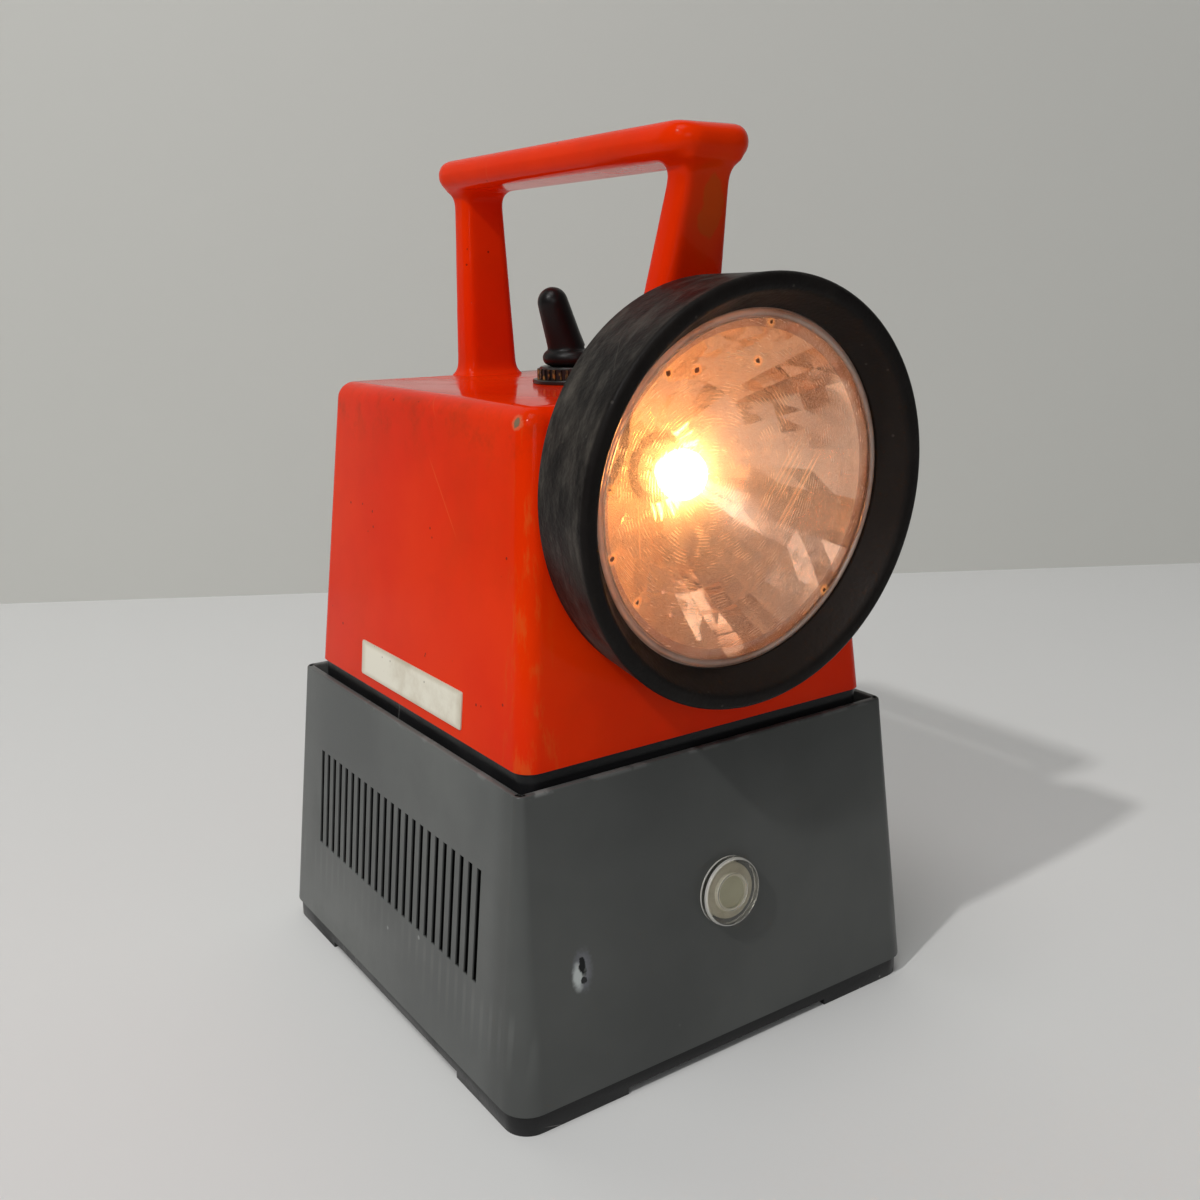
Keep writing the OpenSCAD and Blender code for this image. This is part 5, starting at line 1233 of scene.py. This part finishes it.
class HANDLAMP_OT_charger(bpy.types.Operator):
    """Model the charger's tapered shell with its slots and openings"""
    bl_idname = "handlamp.charger"
    bl_label = "Charger Shell"

    def execute(self, context):
        s = charger()
        sides = []
        for name, z, w, d, r in (("shell_foot", s.foot_z, s.width_low, s.depth_low, s.corner_low),
                                 ("shell_rim", s.rim_z, s.width_top, s.depth_top, s.corner_top)):
            sides.append(stacked(name, [(z, w, d, MID_Y)], r, 8))
        shell = joined(sides)
        shell.name = shell.data.name = "charger_case"
        edit(shell)
        bpy.ops.mesh.delete(type="ONLY_FACE")
        bpy.ops.mesh.select_all(action="SELECT")
        bpy.ops.mesh.bridge_edge_loops()
        turn_out(shell)
        modify(shell, "SOLIDIFY", thickness=s.wall, offset=-1, use_even_offset=True)
        level(shell, s.foot_z)
        level(shell, s.rim_z)
        pick(shell, "EDGE", lambda p, d: p.z > s.rim_z - NEAR and abs(d.z) < 0.1)
        bpy.ops.mesh.bevel(offset=0.6 * MM, segments=3, affect="EDGES")
        fresh()
        first = MID_Y - (s.vents - 1) / 2 * s.vent_pitch
        slot = box_at("slot_cut", (-s.width_low, first - s.vent_width / 2, s.vent_z),
                      (s.width_low, first + s.vent_width / 2, s.vent_z + s.vent_h))
        modify(slot, "ARRAY", count=s.vents, use_relative_offset=False, use_constant_offset=True,
               constant_offset_displace=(0, s.vent_pitch, 0))
        combine(shell, slot, "DIFFERENCE")
        combine(shell, on_charger(plug("bore_cut", s.sleeve_r, 9 * MM)), "DIFFERENCE")
        low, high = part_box("cable_gland")
        mid = (low + high) / 2
        gland_z, gland_r = 40 * MM, 6.2 * MM
        spot = (mid.x, MID_Y + charger_wall(gland_z), gland_z)
        bore = place(plug("bore_cut", gland_r, 9 * MM), spot, (charger_lean() - pi / 2, 0, 0))
        combine(shell, bore, "DIFFERENCE")
        smooth(shell, 30)
        fit(shell, "charger", "grey_shell", "grey_shell", "charger_shell")
        return {"FINISHED"}


class HANDLAMP_OT_black_parts(bpy.types.Operator):
    """Round the edges of the black base plate, lamp tray, lamp seat and cable gland"""
    bl_idname = "handlamp.black_parts"
    bl_label = "Black Mouldings"

    def execute(self, context):
        for node, name, body, width in (("base_plate", "foot_plate", "charger", 0.5 * MM),
                                        ("base_cover", "lamp_tray", "lamp", 0.3 * MM),
                                        ("cable_gland", "lead_gland", "charger", 0.5 * MM),
                                        ("lamp_cradle", "lamp_seat", "charger", 0.3 * MM)):
            fit(softened(node, name, width), body, "black_plastic", "black_plastic", node)
        return {"FINISHED"}


class HANDLAMP_OT_indicator(bpy.types.Operator):
    """Model the clear indicator cap and the cream disc in its window"""
    bl_idname = "handlamp.indicator"
    bl_label = "Indicator"

    def execute(self, context):
        s = charger()
        h, r, w = s.lamp_h, s.lamp_r, s.window_r
        profile = outline((0, h, (0, 0)), (w, h, (-0.6, 0), (0.4, -0.2)),
                          (r, h, (-1.2, -0.45), (-0.6, -0.6), (-0.2, -0.9), (0, -1.4)),
                          (r, 0, (0, 1.0), (0, 0.4), (-0.3, 0.05), (-0.8, 0.05)), (r, h, (-0.8, -2.2)),
                          (w, h, (-0.9, -2.2), (-0.9, -1.2)), (0, h, (0, -1.2)))
        cap = turned("indicator_lens", profile, 72)
        fit(smooth(cap, 30), "charger", "cap", "clear_plastic", "indicator_cap")
        foot, shoulder = 1.0 * MM, h - 1.4 * MM
        edge_finish(cap, "cap_edge", lambda p: p.xy.length > r - 0.55 * MM and not foot < p.z < shoulder)
        on_charger(cap)
        bush = s.sleeve_r - 0.1 * MM
        profile = outline((0, 0, (0, 1.5), (4.7, 1.5), (4.8, 2.1), (5.5, 2.1), (5.6, 0.8)),
                          (bush, 0, (0.4, 0.8), (0.7, 0.5), (0.7, 0.05), (0, 0.05), (0, -8.9), (-1.4, -8.9)),
                          (bush, 0, (-1.4, 0)), (0, 0, (0, 0)))
        disc = turned("indicator_disc", profile, 72)
        on_charger(disc)
        fit(smooth(disc, 30), "charger", "disc", "pale_plastic")
        return {"FINISHED"}


class HANDLAMP_OT_springs(bpy.types.Operator):
    """Model the coil springs under the two charging contacts"""
    bl_idname = "handlamp.springs"
    bl_label = "Contact Springs"

    def execute(self, context):
        s = charger()
        for side in ("left", "right"):
            node = "contact_spring_" + side
            low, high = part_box(node)
            foot = ((low.x + high.x) / 2, (low.y + high.y) / 2, low.z)
            tall = high.z - low.z
            fresh()
            wire = s.spring_wire
            bpy.ops.mesh.primitive_circle_add(vertices=8, radius=wire, fill_type="NOTHING", location=ORIGIN)
            coil = place(named("coil_" + side), ((high.x - low.x) / 2 - wire, 0, wire), (pi / 2, 0, 0))
            modify(coil, "SCREW", angle=2 * pi, screw_offset=(tall - 2 * wire) / s.spring_turns,
                   iterations=s.spring_turns, steps=20, render_steps=20)
            edit(coil)
            bpy.ops.mesh.fill_holes(sides=0)
            place(turn_out(coil), foot)
            fit(smooth(coil, 50), "charger", "steel", "steel", node)
            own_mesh(coil)
        return {"FINISHED"}


class HANDLAMP_OT_dress(bpy.types.Operator):
    """Dress the frame nodes that keep their own shape"""
    bl_idname = "handlamp.dress"
    bl_label = "Inner Parts"

    def execute(self, context):
        for entry in frame["record"]["subparts"]:
            node = NODES[entry["node"]]
            if not node.hide_render:
                node.data.materials.clear()
                lit = entry["node"] == "bulb"
                node.data.materials.append(finish_of("lit_glass" if lit else entry["material_slot"]))
        return {"FINISHED"}


# Stage

WALL_SPOT, WALL_TURN = (0.2668, 0.4600, 0), -asin(0.4975)
LIGHTS = (("key", (-2.1, -0.54, 2.26), 0.1, 33.0, (1.0, 0.99, 0.97)),
          ("window", (-1.8, -0.85, 1.5), 1.0, 4.0, (0.97, 0.98, 1.0)),
          ("front", (-1.06, -1.97, 0.95), 0.8, 5.5, (1.0, 0.99, 0.98)),
          ("ceiling", (-0.7, -0.3, 2.2), 0.9, 13.5, (1.0, 1.0, 0.99)))
LIGHT_AIM = Vector((0, 0, 0.12))
SKY, SKY_STRENGTH = (0.95, 0.97, 1.0, 1.0), 0.12
CAMERA_SPOT = (-0.21588, -0.32293, 0.22446)
CAMERA_YAW, CAMERA_PITCH, CAMERA_ROLL = radians(34.28), radians(14.45), radians(-0.90)
FOCAL_MM, SENSOR_MM = 37.104, 36.0


class HANDLAMP_OT_stage(bpy.types.Operator):
    """Set the table, the wall, the light and the camera"""
    bl_idname = "handlamp.stage"
    bl_label = "Stage"

    def execute(self, context):
        scene = context.scene
        for name, low, high, shade in (("table", (-1.6, -1.6, -0.02), (1.6, 1.6, 0), tones().floor),
                                       ("wall", (-1.6, 0, -0.02), (1.6, 0.02, 1.6), tones().wall)):
            slab = box_at(name, low, high)
            modify(slab, "BEVEL", width=0.002, segments=2)
            if name == "wall":
                place(slab, WALL_SPOT, (0, 0, WALL_TURN))
            f = Finish(name + "_finish", Roughness=0.7)
            f.set(Base_Color=f.spot.noise(4.0, 2.0).blend(lighter(shade, 0.97), shade))
            slab.data.materials.append(f.made)
        for name, spot, size, power, rgb in LIGHTS:
            light = bpy.data.lights.new(name, "AREA")
            light.size, light.energy, light.color = size, power, rgb
            holder = bpy.data.objects.new(name, light)
            scene.collection.objects.link(holder)
            holder.location = spot
            holder.rotation_euler = (LIGHT_AIM - Vector(spot)).to_track_quat("-Z", "Y").to_euler()
        world = bpy.data.worlds.new("studio")
        world.use_nodes = True
        fill(world.node_tree, world.node_tree.nodes["Background"], {0: SKY, 1: SKY_STRENGTH})
        scene.world = world
        scene.view_settings.view_transform = "Standard"
        yaw, pitch, roll = CAMERA_YAW, CAMERA_PITCH, CAMERA_ROLL
        ahead = Vector((sin(yaw) * cos(pitch), cos(yaw) * cos(pitch), -sin(pitch)))
        side = Vector((cos(yaw), -sin(yaw), 0))
        up = side.cross(ahead)
        right = side * cos(roll) + up * sin(roll)
        above = up * cos(roll) - side * sin(roll)
        data = bpy.data.cameras.new("photo_view")
        data.lens, data.sensor_width, data.clip_start = FOCAL_MM, SENSOR_MM, 0.01
        camera = bpy.data.objects.new("photo_view", data)
        scene.collection.objects.link(camera)
        turn = Matrix((right, above, -ahead)).transposed().to_4x4()
        camera.matrix_world = Matrix.Translation(CAMERA_SPOT) @ turn
        scene.camera = camera
        return {"FINISHED"}


STEPS = (HANDLAMP_OT_stage, HANDLAMP_OT_shell, HANDLAMP_OT_handle, HANDLAMP_OT_head, HANDLAMP_OT_switch,
         HANDLAMP_OT_label, HANDLAMP_OT_charger, HANDLAMP_OT_black_parts, HANDLAMP_OT_indicator,
         HANDLAMP_OT_springs, HANDLAMP_OT_dress)


class HANDLAMP_PT_panel(bpy.types.Panel):
    """Lists the lamp's building steps and settings"""
    bl_idname = "HANDLAMP_PT_panel"
    bl_label = "Hand Lamp"
    bl_space_type = "VIEW_3D"
    bl_region_type = "UI"
    bl_category = "Hand Lamp"

    def draw(self, context):
        for step in STEPS:
            self.layout.operator(step.bl_idname)
        for group in GROUPS:
            settings = getattr(context.scene, group)
            for key in settings.__annotations__:
                self.layout.prop(settings, key)


GROUPS = {"hand_lamp": LampSizes, "hand_lamp_head": HeadSizes, "hand_lamp_switch": SwitchSizes,
          "hand_lamp_charger": ChargerSizes, "hand_lamp_tones": Tones}


def register():
    for item in (*GROUPS.values(), *STEPS, HANDLAMP_PT_panel):
        bpy.utils.register_class(item)
    for name, kind in GROUPS.items():
        setattr(bpy.types.Scene, name, PointerProperty(type=kind))


def unregister():
    for name in GROUPS:
        delattr(bpy.types.Scene, name)
    for item in (HANDLAMP_PT_panel, *reversed(STEPS), *GROUPS.values()):
        bpy.utils.unregister_class(item)


def main():
    register()
    for step in STEPS:
        group, name = step.bl_idname.split(".")
        getattr(getattr(bpy.ops, group), name)()
    fresh()


if __name__ == "__main__":
    main()
